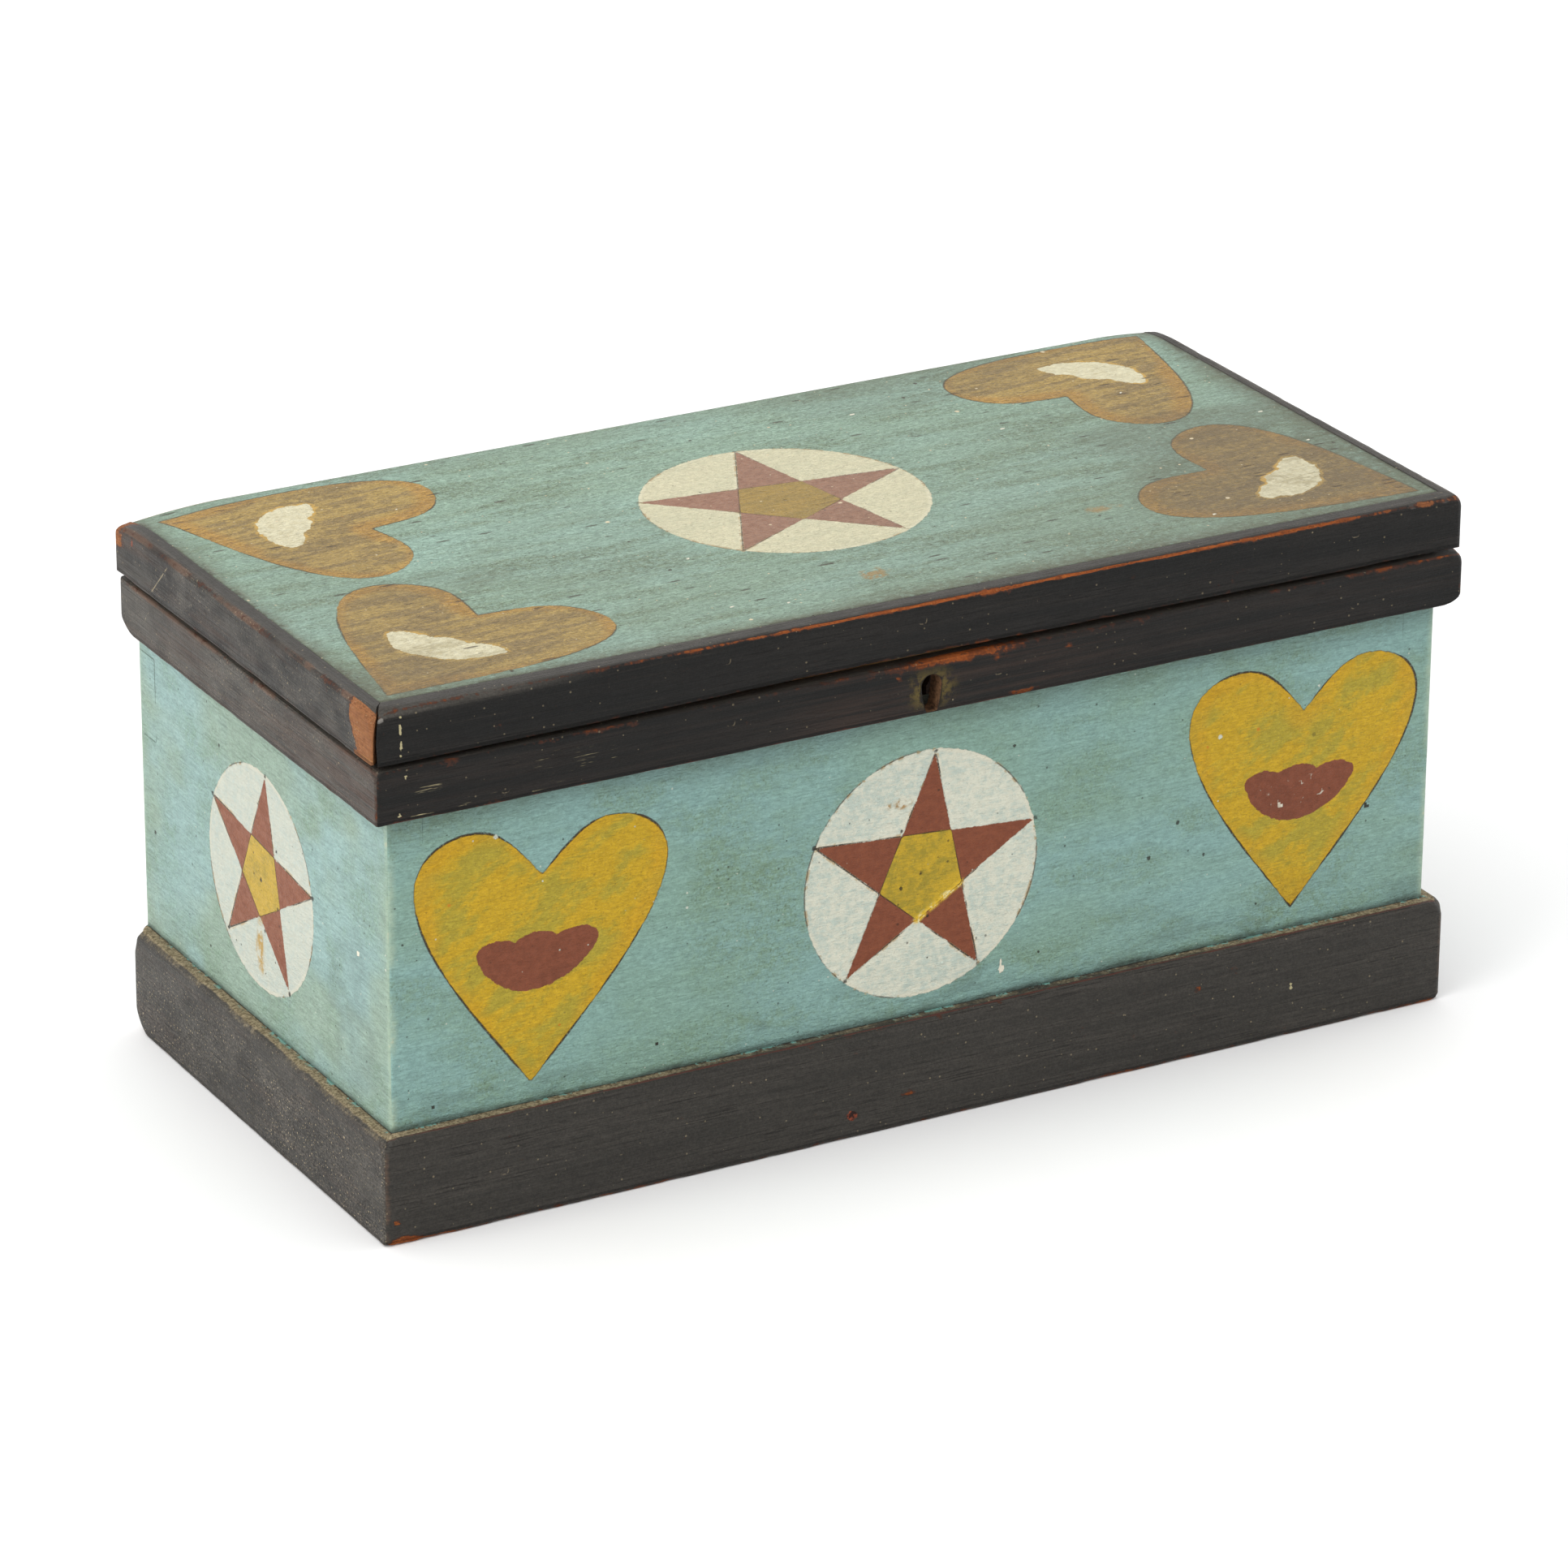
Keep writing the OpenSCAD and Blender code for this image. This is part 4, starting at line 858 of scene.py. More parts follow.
LID_PAL = dict(
    CASE_PAL,
    teal_a=lin(137, 164, 150), teal_b=lin(132, 156, 138), teal_dirt=lin(100, 112, 86), teal_light=lin(172, 194, 180), teal_dark=lin(62, 66, 48),
    streak=0.06, grit=0.46, pore=0.30, pore2=0.55, hair=0.09, hair_h=0.22, curl=0.20, curl_h=0.85, grain_h=0.24, glint=0.45, scars=0.14, nubs=0.05, disc_line=0.5, accent_soil=0.6,
    heart_pore=0.50, heart_grit=0.75, speck_h=0.24, heart_spot=lin(150, 108, 48), lip=lin(208, 202, 174), ridge_highlight=lin(208, 202, 174),
    heart_a=lin(162, 136, 76), heart_b=lin(134, 113, 70), heart_dirt=lin(88, 73, 48), heart_edge=lin(168, 124, 50), heart_light=lin(182, 157, 96), heart_rim=0.62, heart_grime=0.40,
    accent_a=lin(207, 201, 171), accent_b=lin(197, 189, 157), accent_dirt=lin(166, 156, 122), accent_rim=lin(186, 150, 76),
    white_a=lin(199, 193, 162), white_b=lin(182, 180, 152), white_dirt=lin(160, 154, 124), white_light=lin(216, 210, 184), mottle=0.7,
    red_a=lin(149, 112, 91), red_b=lin(137, 100, 81), red_dirt=lin(96, 66, 52), pent_a=lin(158, 130, 66), pent_b=lin(142, 119, 64),
    shade_and_grime=lin(92, 96, 78), grime_heart=lin(104, 90, 66), pale=lin(140, 152, 132), fleck=lin(212, 196, 164), pit=lin(60, 46, 34), line=0.75, line_w=0.46, line_min=0.25, prick=0.35, flecks=0.07, pits=0.05,
)
# The end boards' paint: the case colours with the whites darkened and the teal, red and yellow lifted, a painted shade
# and a painted sheen for how the light falls on the ends; the stain is its own colour.
END_PAL = dict(
    CASE_PAL,
    teal_a=lin(134, 161, 157), teal_b=lin(133, 153, 138), white_a=lin(182, 185, 172), white_b=lin(166, 177, 170), white_light=lin(200, 200, 188), lip=lin(194, 190, 172),
    red_a=lin(131, 82, 60), red_b=lin(120, 72, 52), pent_a=lin(180, 150, 58), pent_b=lin(154, 134, 58), stain=lin(168, 134, 62),
)

front_paint = paint_material("front_paint", "xz", (26, 60, 700), (190, 60, 1900), (520, 60, 1350), CASE_PAL, 0.48)
end_paint = paint_material("end_paint", "yz", (60, 26, 700), (60, 190, 1900), (60, 520, 1350), END_PAL, 0.50)
lid_paint = paint_material("lid_paint", "xy", (55, 900, 60), (300, 1900, 60), (520, 1250, 60), LID_PAL, 0.44)
black = black_material("black_strip_paint")
pine_x = pine_material("bottom_board_wood", "x", ("y", (YB - 0.05) * 0.001, CASE_PAL))
pine_front = pine_material("front_board_wood", "x", None, (KEY_X * 0.001, (KEY_Z - 2.0) * 0.001, 0.0058))
pine_y = pine_material("end_board_wood", "y", ("y", (YB - 0.05) * 0.001, CASE_PAL), None, 0.04)
back_wood = pine_material("back_board_wood", "x", ("y", (YB - 0.05) * 0.001, CASE_PAL), None, -0.02)
lid_wood = pine_material("lid_board_wood", "x", ("y", (LYB - 0.05) * 0.001, LID_PAL), None, -0.10)
iron = metal_material("aged_iron", lin(92, 88, 84), lin(52, 49, 46), lin(108, 62, 38), 0.06, 0.42)
brass = metal_material("aged_brass", lin(188, 150, 84), lin(128, 98, 54), lin(82, 66, 42), 0.02, 0.32)


# ------------------------------------------------------------------ painted faces
def none(u):
    return np.zeros(len(u))


def blob(u, v, cu, cv, ru, rv, seed=0, rag=0.5):
    d = np.hypot((u - cu) / ru, (v - cv) / rv) + rag * (fbm(u / (0.6 * ru), v / (0.6 * rv), seed) - 0.5)
    return 1 - smooth(0.6, 1.1, d)


def ground(u, v, seed, stretch, turn, fine=1.0):
    """Slow changes of the painted ground: hue, greenish soiling, brush smears over the ornament, and where a scribed
    line bites.
    """
    c, n = math.cos(turn), math.sin(turn)
    ru, rv = u * c + v * n, v * c - u * n
    return {
        "hue": smooth(0.30, 0.68, fbm(u / (30 * stretch), v / 24, seed, 4)),
        "green": 0.70 * smooth(0.40, 0.72, fbm(u / (16 * stretch), v * fine / 11, seed + 50, 6, 0.66)),
        "smear": fbm(ru / 15, rv * fine / 5.5, seed + 90, 5, 0.60),
        "gate": fbm(u / 13, v / 13, seed + 130, 4, 0.55),
    }


def pins(P, boxes):
    """Signed distance to the ends of dovetail pins, whose outlines show faintly through the paint."""
    d = np.full(len(P), 8.0)
    for u0, u1, v0, v1 in boxes:
        d = np.minimum(d, sdf(P, np.array([(u0, v0), (u1, v0), (u1, v1), (u0, v1)], float)))
    return d


def front_extra(u, v):
    g = ground(u, v, 200, 1.5, 0.5)
    g["lap"] = none(u)
    # A darker band under the rim strip is a painted shadow of the strip together with grime; the band just above the
    # base strip is painted shade in that seam together with dust; the mottled patches lower down are dirt.
    under = smooth(118, 131, v + 5 * (fbm(u / 34, v / 8, 5) - 0.5))
    dirt_and_shade = 0.50 * under + 0.80 * smooth(35.4, 33.4, v + 1.6 * (fbm(u / 12, 0, 6) - 0.5))
    dirt_and_shade += 0.30 * smooth(60, 36, v) * smooth(0.52, 0.70, fbm(u / 14, v / 5, 9, 5))
    g["green"] = np.clip(g["green"] + 0.30 * smooth(60, 36, v) + 0.45 * blob(u, v, -60, 76, 26, 30, 7), 0, 1)
    edge = A - np.abs(u)
    pale = 0.85 * smooth(2.4, 0.2, edge + 1.4 * (fbm(v / 6, u / 50, 11) - 0.5)) * smooth(0.30, 0.55, fbm(v / 16, u / 60, 12))
    drip = np.maximum(blob(u, v, 25.6, 41.4, 1.15, 1.5, 0, 0.1), 0.95 * blob(u, v, 25.7, 43.6, 0.5, 1.5, 0, 0.05))
    stain = np.maximum(0.9 * blob(u, v, -13.4, 101.3, 0.9, 0.9, 13, 0.4), 0.95 * blob(u, v, -8.6, 101.4, 3.2, 1.9, 15, 0.8) * smooth(0.42, 0.52, fbm(u / 1.3, v / 2.6, 16, 3)))
    drip = np.maximum(drip, 0.525 * blob(u, v, 128, 78, 15, 7, 17, 0.6) * smooth(0.64, 0.74, fbm(u / 1.4, v / 1.4, 18, 2)))
    # key 2 marks the panel behind the keyhole slot, painted dark as shade inside the hole; key 1 marks three small nail
    # holes.
    key = np.where((np.abs(u - KEY_X) < 4.5) & (v > RIM_Z - RIM_H + 0.15), 2, 0)
    for cu, cv, r in ((153.3, 68.2, 1.3), (-89.7, 42.4, 0.8), (-162.0, 38.6, 0.8)):
        key = np.where(np.hypot(u - cu, v - cv) < r, 1, key)
    upper, lower = v > 120.6, v < 45.0
    joint = np.where((u > 0) & (upper | lower), np.abs(u - 164), np.where((u < 0) & upper, np.abs(u + 164), 8.0))
    g.update({"dirt_and_shade": np.clip(dirt_and_shade, 0, 1), "wear": 0.55 * pale * smooth(0.5, 0.7, fbm(v / 5, u / 40, 14)), "pale": pale, "drip": drip, "stain": stain, "joint": joint})
    g["dirt_and_shade"] = np.where(key > 1, 0.0, g["dirt_and_shade"])
    g["key"] = key
    return g


def wavy(u, v, seed, amp=0.10, base=PAINT):
    return base + amp * (fbm(u / 46, v / 17, seed, 3) - 0.5) + 0.05 * (fbm(u / 7, v / 3.2, seed + 3, 3) - 0.5)


def corner_drop(s, r=0.7):
    """How far a face falls away within r of a rounded edge; s is the distance from the edge."""
    t = np.clip(r - s, 0, r)
    return r - np.sqrt(r * r - t * t)


R_EDGE = 1.15
CUT = 0.293 * R_EDGE


def front_lift(u, v, at):
    return wavy(u, v, 21) - corner_drop(A + PAINT - np.abs(u), R_EDGE) + 0.30 * at["ridge"]


def edge_steps(lo, hi, step):
    """Even steps, with a few finer ones at both ends for the rounded edges."""
    fine = np.array([0, 0.12, 0.25, 0.42, 0.65, 1.0])
    n = int(round((hi - lo - 2.0) / step))
    return np.concatenate([lo + fine, np.linspace(lo + 1.0, hi - 1.0, n + 1)[1:-1], hi - fine[::-1]])


zs = np.linspace(BASE_H - 1.6, RIM_Z - RIM_H + 3.4, 130)
panel_front = painted_panel(
    "front_board_paint", edge_steps(-A - PAINT + CUT, A + PAINT - CUT, 0.82), zs,
    lambda u, v, d: np.column_stack([u, YF - d, v]), FRONT, front_lift, front_extra, front_paint)


def end_extra(side):
    def extra(u, v):
        g = ground(u, v, 230 + side, 1.0, 0.4)
        g["lap"] = none(u)
        # A darker band under the rim strip is a painted shadow of the strip together with grime; the band above the
        # base strip is painted shade in the seam together with dust.
        dirt_and_shade = 0.34 * smooth(122, 131, v + 4 * (fbm(u / 30, v / 8, 35) - 0.5)) + 0.75 * smooth(35.4, 33.4, v + 1.6 * (fbm(u / 12, 0, 36) - 0.5))
        dirt_and_shade += 0.22 * blob(u, v, 60, 58, 18, 40, 37) * smooth(0.4, 0.65, fbm(u / 9, v / 9, 38))
        g["green"] = 0.85 * g["green"]
        s = 83 - np.abs(u)
        pale = 0.75 * smooth(2.4, 0.2, s + 1.4 * (fbm(v / 6, side * 7, 41) - 0.5)) * smooth(0.30, 0.55, fbm(v / 16, u / 60, 42))
        stain, drip = none(u), none(u)
        if side < 0:
            stain = 0.9 * blob(u, v, -2.0, 59.0, 2.8, 10.5, 43, 1.1)
            drip = blob(u, v, 63.5, 81.5, 1.1, 1.0, 3, 0.2)
        joint = pins(np.column_stack([u, v]), [(-100, -72, 96.5, 123.2)])
        g.update({"dirt_and_shade": np.clip(dirt_and_shade, 0, 1), "wear": 0.5 * pale, "pale": pale, "drip": drip, "stain": stain, "joint": joint})
        return g
    return extra


def end_lift(seed):
    def lift(u, v, at):
        return wavy(u, v, seed) - corner_drop(83 + PAINT - np.abs(u), R_EDGE)
    return lift


mid_y = (YF + YB) / 2
us_end = edge_steps(-83 - PAINT + CUT, 83 + PAINT - CUT, 0.85)
panel_left = painted_panel("left_end_paint", us_end, zs, lambda u, v, d: np.column_stack([-A - d, mid_y - u, v]), END, end_lift(31), end_extra(-1), end_paint)
panel_right = painted_panel("right_end_paint", us_end, zs, lambda u, v, d: np.column_stack([A + d, mid_y + u, v]), END, end_lift(33), end_extra(1), end_paint)
for p in (panel_front, panel_left, panel_right):
    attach(p, "case")


def lid_extra(u, v):
    g = ground(u, v, 260, 2.0, 0.10, 2.4)
    du = np.minimum(LX - np.abs(u), v - LYF)
    dirt_and_shade = 0.50 * smooth(11, 0, du + 7 * (fbm(u / 22, v / 22, 51) - 0.5)) + 0.30 * smooth(16, 2, LYB - v + 5 * (fbm(u / 30, 3, 52) - 0.5))
    dirt_and_shade += 0.40 * blob(u, v, 138, -42, 50, 40, 53, 0.4) + 0.26 * smooth(-60, 150, u) * smooth(75, 20, v) + 0.26 * smooth(10, -75, v) + 0.20 * blob(u, v, -150, 0, 24, 70, 54) + 0.16 * blob(u, v, -70, 0, 40, 40, 59)
    dirt_and_shade += 0.42 * blob(u, v, 138, 2, 42, 18, 62, 0.4) + 0.30 * blob(u, v, 84, 74, 60, 20, 65, 0.5) + 0.30 * blob(u, v, -122, -8, 24, 14, 66, 0.5) + 0.34 * blob(u, v, -160, -66, 24, 16, 67, 0.6)
    dirt_and_shade += 0.14 * smooth(16, 3, LX - u)
    pale = 0.30 * smooth(2.6, 0.2, LYB - v + 1.2 * (fbm(u / 8, 0, 55) - 0.5))
    lap = du + 2.6 * (fbm(u / 5, v / 5, 63, 4) - 0.5)
    g["lap"] = 0.9 * smooth(1.1, 0.3, lap) + 0.30 * smooth(4.0, 0.8, lap)
    g["lap"] = np.clip(g["lap"], 0, 0.9)
    pale = np.maximum(pale, 0.75 * smooth(0.5, 0.15, np.abs(lap - 1.5)) * smooth(0.48, 0.62, fbm(u / 9, v / 9, 64)))
    pale = np.maximum(pale, 0.9 * np.maximum(blob(u, v, 174.8, -74.5, 0.8, 5.0, 68, 0.4), 0.8 * blob(u, v, 151.9, -75.0, 1.5, 0.8, 69, 0.5)))
    wear = 0.55 * smooth(2.0, 0.2, LYB - v + 1.2 * (fbm(u / 8, 0, 55) - 0.5)) * smooth(0.4, 0.6, fbm(u / 20, 0, 56))
    drip = np.maximum.reduce([blob(u, v, cu, cv, r, r * 0.8, k, 0.2) for k, (cu, cv, r) in enumerate(
        [(55, 61, 0.9), (89, 28, 0.8), (-48, -23, 0.9), (-39, -68, 0.8), (167, 4, 1.0), (166, -24, 0.8), (-55, -63, 0.7), (138, 39, 0.8), (-105, 53, 0.7), (107, -65, 0.7), (1, 14, 0.7)])])
    stain = 0.7 * blob(u, v, -6, -59, 5, 4, 57, 1.2) + 0.6 * blob(u, v, 80, -45, 6, 3, 58, 1.2)
    g.update({"dirt_and_shade": np.clip(dirt_and_shade, 0, 0.85), "wear": wear, "pale": pale, "drip": drip, "stain": np.clip(stain, 0, 1), "joint": np.full(len(u), 8.0)})
    return g


def lid_fall(u, v):
    """How far the lid's worn back corners have gone down."""
    left = np.clip(1 - np.hypot((u + LX) / 30, (LYB - v) / 18), 0, 1)
    right = np.clip(1 - np.hypot((LX - u) / 18, (LYB - v) / 12), 0, 1)
    return 2.3 * left ** 1.8 + 1.2 * right ** 1.8


def worn_board():
    """The lid board with its two back corners cut down to lid_fall."""
    ob = bpy.data.objects.new("lid_board_worn", nodes["lid_board"].data.copy())
    bpy.context.scene.collection.objects.link(ob)
    bm = bmesh.new()
    bm.from_mesh(ob.data)
    bmesh.ops.remove_doubles(bm, verts=bm.verts, dist=1e-7)
    bm.to_mesh(ob.data)
    bm.free()
    for side, du, dv in ((-1, 34, 22), (1, 22, 16)):
        us, vs = np.linspace(-1.5, du, 40) * -side + side * LX, np.linspace(LYB - dv, LYB + 1.5, 30)
        us = np.sort(us)
        U, V = np.meshgrid(us, vs, indexing="ij")
        u, v = U.ravel(), V.ravel()
        low = LID_FACE + 0.03 - lid_fall(np.clip(u, -LX, LX), np.minimum(v, LYB))
        n, nu, nv = len(u), len(us), len(vs)
        verts = np.vstack([np.column_stack([u, v, low]), np.column_stack([u, v, low * 0 + LID_FACE + 4])])
        faces = grid_faces(nu, nv, True) + [[a + n for a in f] for f in grid_faces(nu, nv)]
        ring = ([i * nv for i in range(nu)] + [(nu - 1) * nv + j for j in range(1, nv)]
                + [i * nv + nv - 1 for i in range(nu - 2, -1, -1)] + [j for j in range(nv - 2, 0, -1)])
        faces += [[ring[k], ring[(k + 1) % len(ring)], n + ring[(k + 1) % len(ring)], n + ring[k]] for k in range(len(ring))]
        tool = new_object("corner_cutter", verts, faces)
        carve(ob, tool)
    return ob


def carve(ob, tool):
    """Takes tool away from ob for good."""
    mod = ob.modifiers.new("carve", "BOOLEAN")
    mod.operation = "DIFFERENCE"
    mod.solver = "EXACT"
    mod.material_mode = "TRANSFER"
    mod.object = tool
    dg = bpy.context.evaluated_depsgraph_get()
    cut = bpy.data.meshes.new_from_object(ob.evaluated_get(dg), preserve_all_data_layers=True, depsgraph=dg)
    ob.modifiers.clear()
    cut.name = ob.data.name
    ob.data = cut
    bpy.data.objects.remove(tool)


def lid_lift(u, v, at):
    return wavy(u, v * 1.5, 61, 0.14, LID_PAINT) - corner_drop(LYB + 0.1 - v, 0.9)


panel_lid = painted_panel(
    "lid_board_paint", np.linspace(-LX + 0.02, LX - 0.02, 372), np.concatenate([np.linspace(LYF + 0.02, LYB - 1.2, 172), LYB + 0.1 - np.array([0.95, 0.7, 0.5, 0.36, 0.27])]),
    lambda u, v, d: np.column_stack([u, v, LID_FACE + d - lid_fall(u, v)]), LID, lid_lift, lid_extra, lid_paint)
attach(panel_lid, "lid")
board_lid = worn_board()
board_lid.data.materials.clear()
board_lid.data.materials.append(lid_wood)
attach(board_lid, "lid")
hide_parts("lid_board")


# ------------------------------------------------------------------ black strips
def wear_profile(x, table):
    xs, ws = zip(*table)
    return np.interp(x, xs, ws)


def strip_object(name, st, xyz, attrs, node, body, sid):
    zero = np.zeros(len(st.t))
    base = {"su": st.t * st.length * 0.001, "sv": st.around * st.girth * 0.001, "sid": zero + sid}
    for k in ("wear", "dust", "grey_and_sheen", "rub", "redline", "tealfleck", "cream", "rust", "specks", "brown", "edge", "scuff", "raw", "chalk_and_highlight"):
        base[k] = attrs.get(k, zero)
    base["nailu"], base["nailv"] = attrs.get("nail", (zero + 9, zero + 9))
    base["scru"], base["scrv"] = attrs.get("scratch", (zero + 9, zero + 9))
    ob = new_object(name, xyz, st.faces, base, st.uv(), black, 2)
    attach(ob, body)
    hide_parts(node)
    return ob


def edge_distance(st, o, h):
    """Distances to a strip's outer top and outer bottom edges."""
    return np.hypot(o, st.height - h), np.hypot(o, h)


def nail_marks(s, h, on, at):
    """Place relative to the nearest nail head, in mm, or far away off the face."""
    best, du, dv = np.full(len(s), 1e9), np.full(len(s), 9.0), np.full(len(s), 9.0)
    for ns, nh in at:
        d = np.hypot(s - ns, h - nh)
        near = (d < best) & on
        best, du, dv = np.where(near, d, best), np.where(near, s - ns, du), np.where(near, h - nh, dv)
    return np.clip(du, -9, 9), np.clip(dv, -9, 9)


def scratch_mark(s, h, on, p, q):
    """Place along and off the line from p to q: along runs from -1 to 1 between them, off is in mm."""
    (s0, h0), (s1, h1) = p, q
    n = math.hypot(s1 - s0, h1 - h0)
    du, dv = (s1 - s0) / n, (h1 - h0) / n
    along = ((s - s0) * du + (h - h0) * dv) / n * 2 - 1
    return np.where(on, np.clip(along, -9, 9), 9.0), np.clip((h - h0) * du - (s - s0) * dv, -9, 9)


def front_strip(name, node, body, xi, y_in, xo, y_out, z0, z1, radii, corner, wear, sid, extra=None, gap=(0, 0), foot=None, head=None, sag=None, balls=None):
    """Strip across the front, mitred at both ends. s runs along X."""
    st = Strip(2 * xo, y_in - y_out, z1 - z0, radii)
    o, h = st.o.copy(), st.h.copy()
    seed = 100 + sid * 13
    t = 2 * st.t - 1
    open_ = 1 - 0.9 * st.h / st.height
    ends = xi + (1 - o / st.thick) * (xo - xi) - np.where(t < 0, gap[0], gap[1]) * open_
    x = t * ends
    # rounded upright corners, then hand-planed faces
    s_end = xo - np.abs(x)
    corner = np.where(x < 0, *corner) if isinstance(corner, tuple) else corner
    p, q = round_off(s_end, o, corner, corner)
    x = np.sign(x) * (xo - p)
    o = q
    if foot:
        for side, ra, rz in foot:
            on = (np.sign(x) == side)
            pp, hh = round_off(xo - np.abs(x), h, ra, rz)
            x = np.where(on, side * (xo - pp), x)
            h = np.where(on, hh, h)
    if head:
        for side, ra, rz in head:
            on = (np.sign(x) == side)
            pp, hh = round_off(xo - np.abs(x), st.height - h, ra, rz)
            x = np.where(on, side * (xo - pp), x)
            h = np.where(on, st.height - hh, h)
    for side, reach, r in balls or []:
        on = np.sign(x) == side
        p, q, hh = worn_corner([xo - np.abs(x), o, st.height - h], r, reach, 0)
        x, o, h = np.where(on, side * (xo - p), x), np.where(on, q, o), np.where(on, st.height - hh, h)
    d_top, d_bot = edge_distance(st, st.o, st.h)
    outer = smooth(st.thick * 0.6, 0.2, st.o)
    near = smooth(7.0, 2.0, s_end)
    o = o - outer * (0.14 + (1 - near) * (0.22 * (fbm(x / 55, h / 30, seed, 3) - 0.5) + 0.06 * (fbm(x / 6, h / 2.2, seed + 1, 3) - 0.5)))
    x = x + np.sign(x) * near * outer * 0.14
    w = wear_profile(x, wear["top"])
    chip = w * smooth(2.6, 0.0, d_top) * smooth(0.45, 0.75, fbm(x / 9, 0, seed + 2)) * 0.75
    o, h = o + chip * 0.7, h - chip * 0.55
    wb = wear_profile(x, wear["bottom"])
    chipb = wb * smooth(2.4, 0.0, d_bot) * smooth(0.45, 0.75, fbm(x / 11, 0, seed + 3)) * 0.6
    o, h = o + chipb * 0.6, h + chipb * 0.5
    h = h + 0.18 * (fbm(x / 40, 0, seed + 4) - 0.5) * (st.h / st.height)
    z = z0 + h
    if sag is not None:
        z = z + sag(x) * (1 - st.h / st.height)
    xyz = np.column_stack([x, y_out + o, z])
    s = x
    a = {}
    along = fbm(s / 16, 0, seed + 5)
    wtop = w * smooth(2.3 * (0.35 + along), 0.0, d_top)
    wbot = wb * smooth(2.2 * (0.3 + fbm(s / 13, 0, seed + 6)), 0.0, d_bot)
    mid_d = (radii[3] * 0.4142)
    line = w * smooth(0.34, 0.06, np.abs(d_top - mid_d) + 0.30 * (fbm(s / 7, 0, seed + 11) - 0.5)) * (d_top < radii[3])
    wtop = np.maximum(wtop, wear.get("arris", 0.0) * line)
    corner_w = wear.get("corner", 0.0) * smooth(2.6, 0.0, s_end) * outer * smooth(0.3, 0.65, fbm(z / 4, x / 90, seed + 7))
    a["wear"] = np.maximum.reduce([wtop, wbot, corner_w])
    # Lighter grey on the top face: dust together with a painted sheen of the light from above.
    a["grey_and_sheen"] = np.clip(0.55 * smooth(0.4, 0.0, st.height - st.h) * smooth(0.0, 1.2, st.o), 0, 1)
    if extra:
        extra(a, s, st.h, st.o, st)
    return strip_object(name, st, xyz, a, node, body, sid)


def end_strip(name, node, body, side, xi, y_in, xo, y_out, y_back, z0, z1, radii, corner, wear, sid, extra=None, gap=0.0, foot=None, front_foot=None, front_head=None, back_corner=1.2, balls=None, fall=None):
    """Strip along an end of the box, mitred at the front. s runs from the front corner to the back."""
    length = y_back - y_out
    st = Strip(length, xo - xi, z1 - z0, radii)
    o, h = st.o.copy(), st.h.copy()
    seed = 300 + sid * 13
    y0 = y_in - (1 - o / st.thick) * (y_in - y_out) + gap
    y = y0 + st.t * (y_back - y0)
    p, q = round_off(y - y_out, o, corner, corner)
    y, o = y_out + p, q
    p, q = round_off(y_back - y, o, back_corner, back_corner)
    y, o = y_back - p, q
    if foot:
        p, h = round_off(y_back - y, h, *foot)
        y = y_back - p
    if front_foot:
        p, h = round_off(y - y_out, h, *front_foot)
        y = y_out + p
    if front_head:
        p, hh = round_off(y - y_out, st.height - h, *front_head)
        y, h = y_out + p, st.height - hh
    s = y - y_out
    for end, reach, r in balls or []:
        q, p, hh = worn_corner([o, s if end == "front" else y_back - y, st.height - h], r, reach, 1, 1.0 if end == "front" else smooth(st.thick, 0.3 * st.thick, o))
        o, h, y = q, st.height - hh, y_out + p if end == "front" else y_back - p
        s = y - y_out
    if fall is not None:
        h = h - fall(y) * (st.h / st.height) ** 2
    d_top, d_bot = edge_distance(st, st.o, st.h)
    outer = smooth(st.thick * 0.6, 0.2, st.o)
    near = smooth(7.0, 2.0, s)
    o = o - outer * (0.14 + (1 - near) * (0.22 * (fbm(s / 55, h / 30, seed, 3) - 0.5) + 0.06 * (fbm(s / 6, h / 2.2, seed + 1, 3) - 0.5)))
    y = y - near * outer * 0.14
    w = wear_profile(s, wear["top"])
    chip = w * smooth(2.6, 0.0, d_top) * smooth(0.45, 0.75, fbm(s / 9, 0, seed + 2)) * 0.7
    o, h = o + chip * 0.7, h - chip * 0.5
    wb = wear_profile(s, wear["bottom"])
    chipb = wb * smooth(2.4, 0.0, d_bot) * smooth(0.45, 0.75, fbm(s / 11, 0, seed + 3)) * 0.6
    o, h = o + chipb * 0.6, h + chipb * 0.5
    h = h + 0.18 * (fbm(s / 40, 0, seed + 4) - 0.5) * (st.h / st.height)
    xyz = np.column_stack([side * (xo - o), y, z0 + h])
    a = {}
    wtop = w * smooth(2.3 * (0.35 + fbm(s / 16, 0, seed + 5)), 0.0, d_top)
    wbot = wb * smooth(2.2 * (0.3 + fbm(s / 13, 0, seed + 6)), 0.0, d_bot)
    corner_w = wear.get("corner", 0.0) * smooth(2.6, 0.0, s) * outer * smooth(0.3, 0.65, fbm(h / 4, 9.5, seed + 7))
    a["wear"] = np.maximum.reduce([wtop, wbot, corner_w])
    # Lighter grey on the top face, and over the whole outer face of the end strips: a painted sheen of the light from
    # the side and above, with dust on top.
    a["grey_and_sheen"] = np.clip(0.55 * smooth(0.4, 0.0, st.height - st.h) * smooth(0.0, 1.2, st.o) + 0.42 * outer, 0, 1)
    on_arc = np.abs(d_top - 0.4142 * radii[3])
    a["edge"] = 0.85 * smooth(1.6, 0.1, on_arc) * (0.35 + 0.65 * smooth(0.30, 0.62, fbm(s / 14, 0, seed + 8))) * (d_top < 4.0)
    a["brown"] = 0.40 * outer * smooth(0.40, 0.66, fbm(s / 26, h / 7, seed + 9, 5))
    if extra:
        extra(a, s, st.h, st.o, st)
    if side < 0:
        st.faces = [f[::-1] for f in st.faces]
    return strip_object(name, st, xyz, a, node, body, sid)


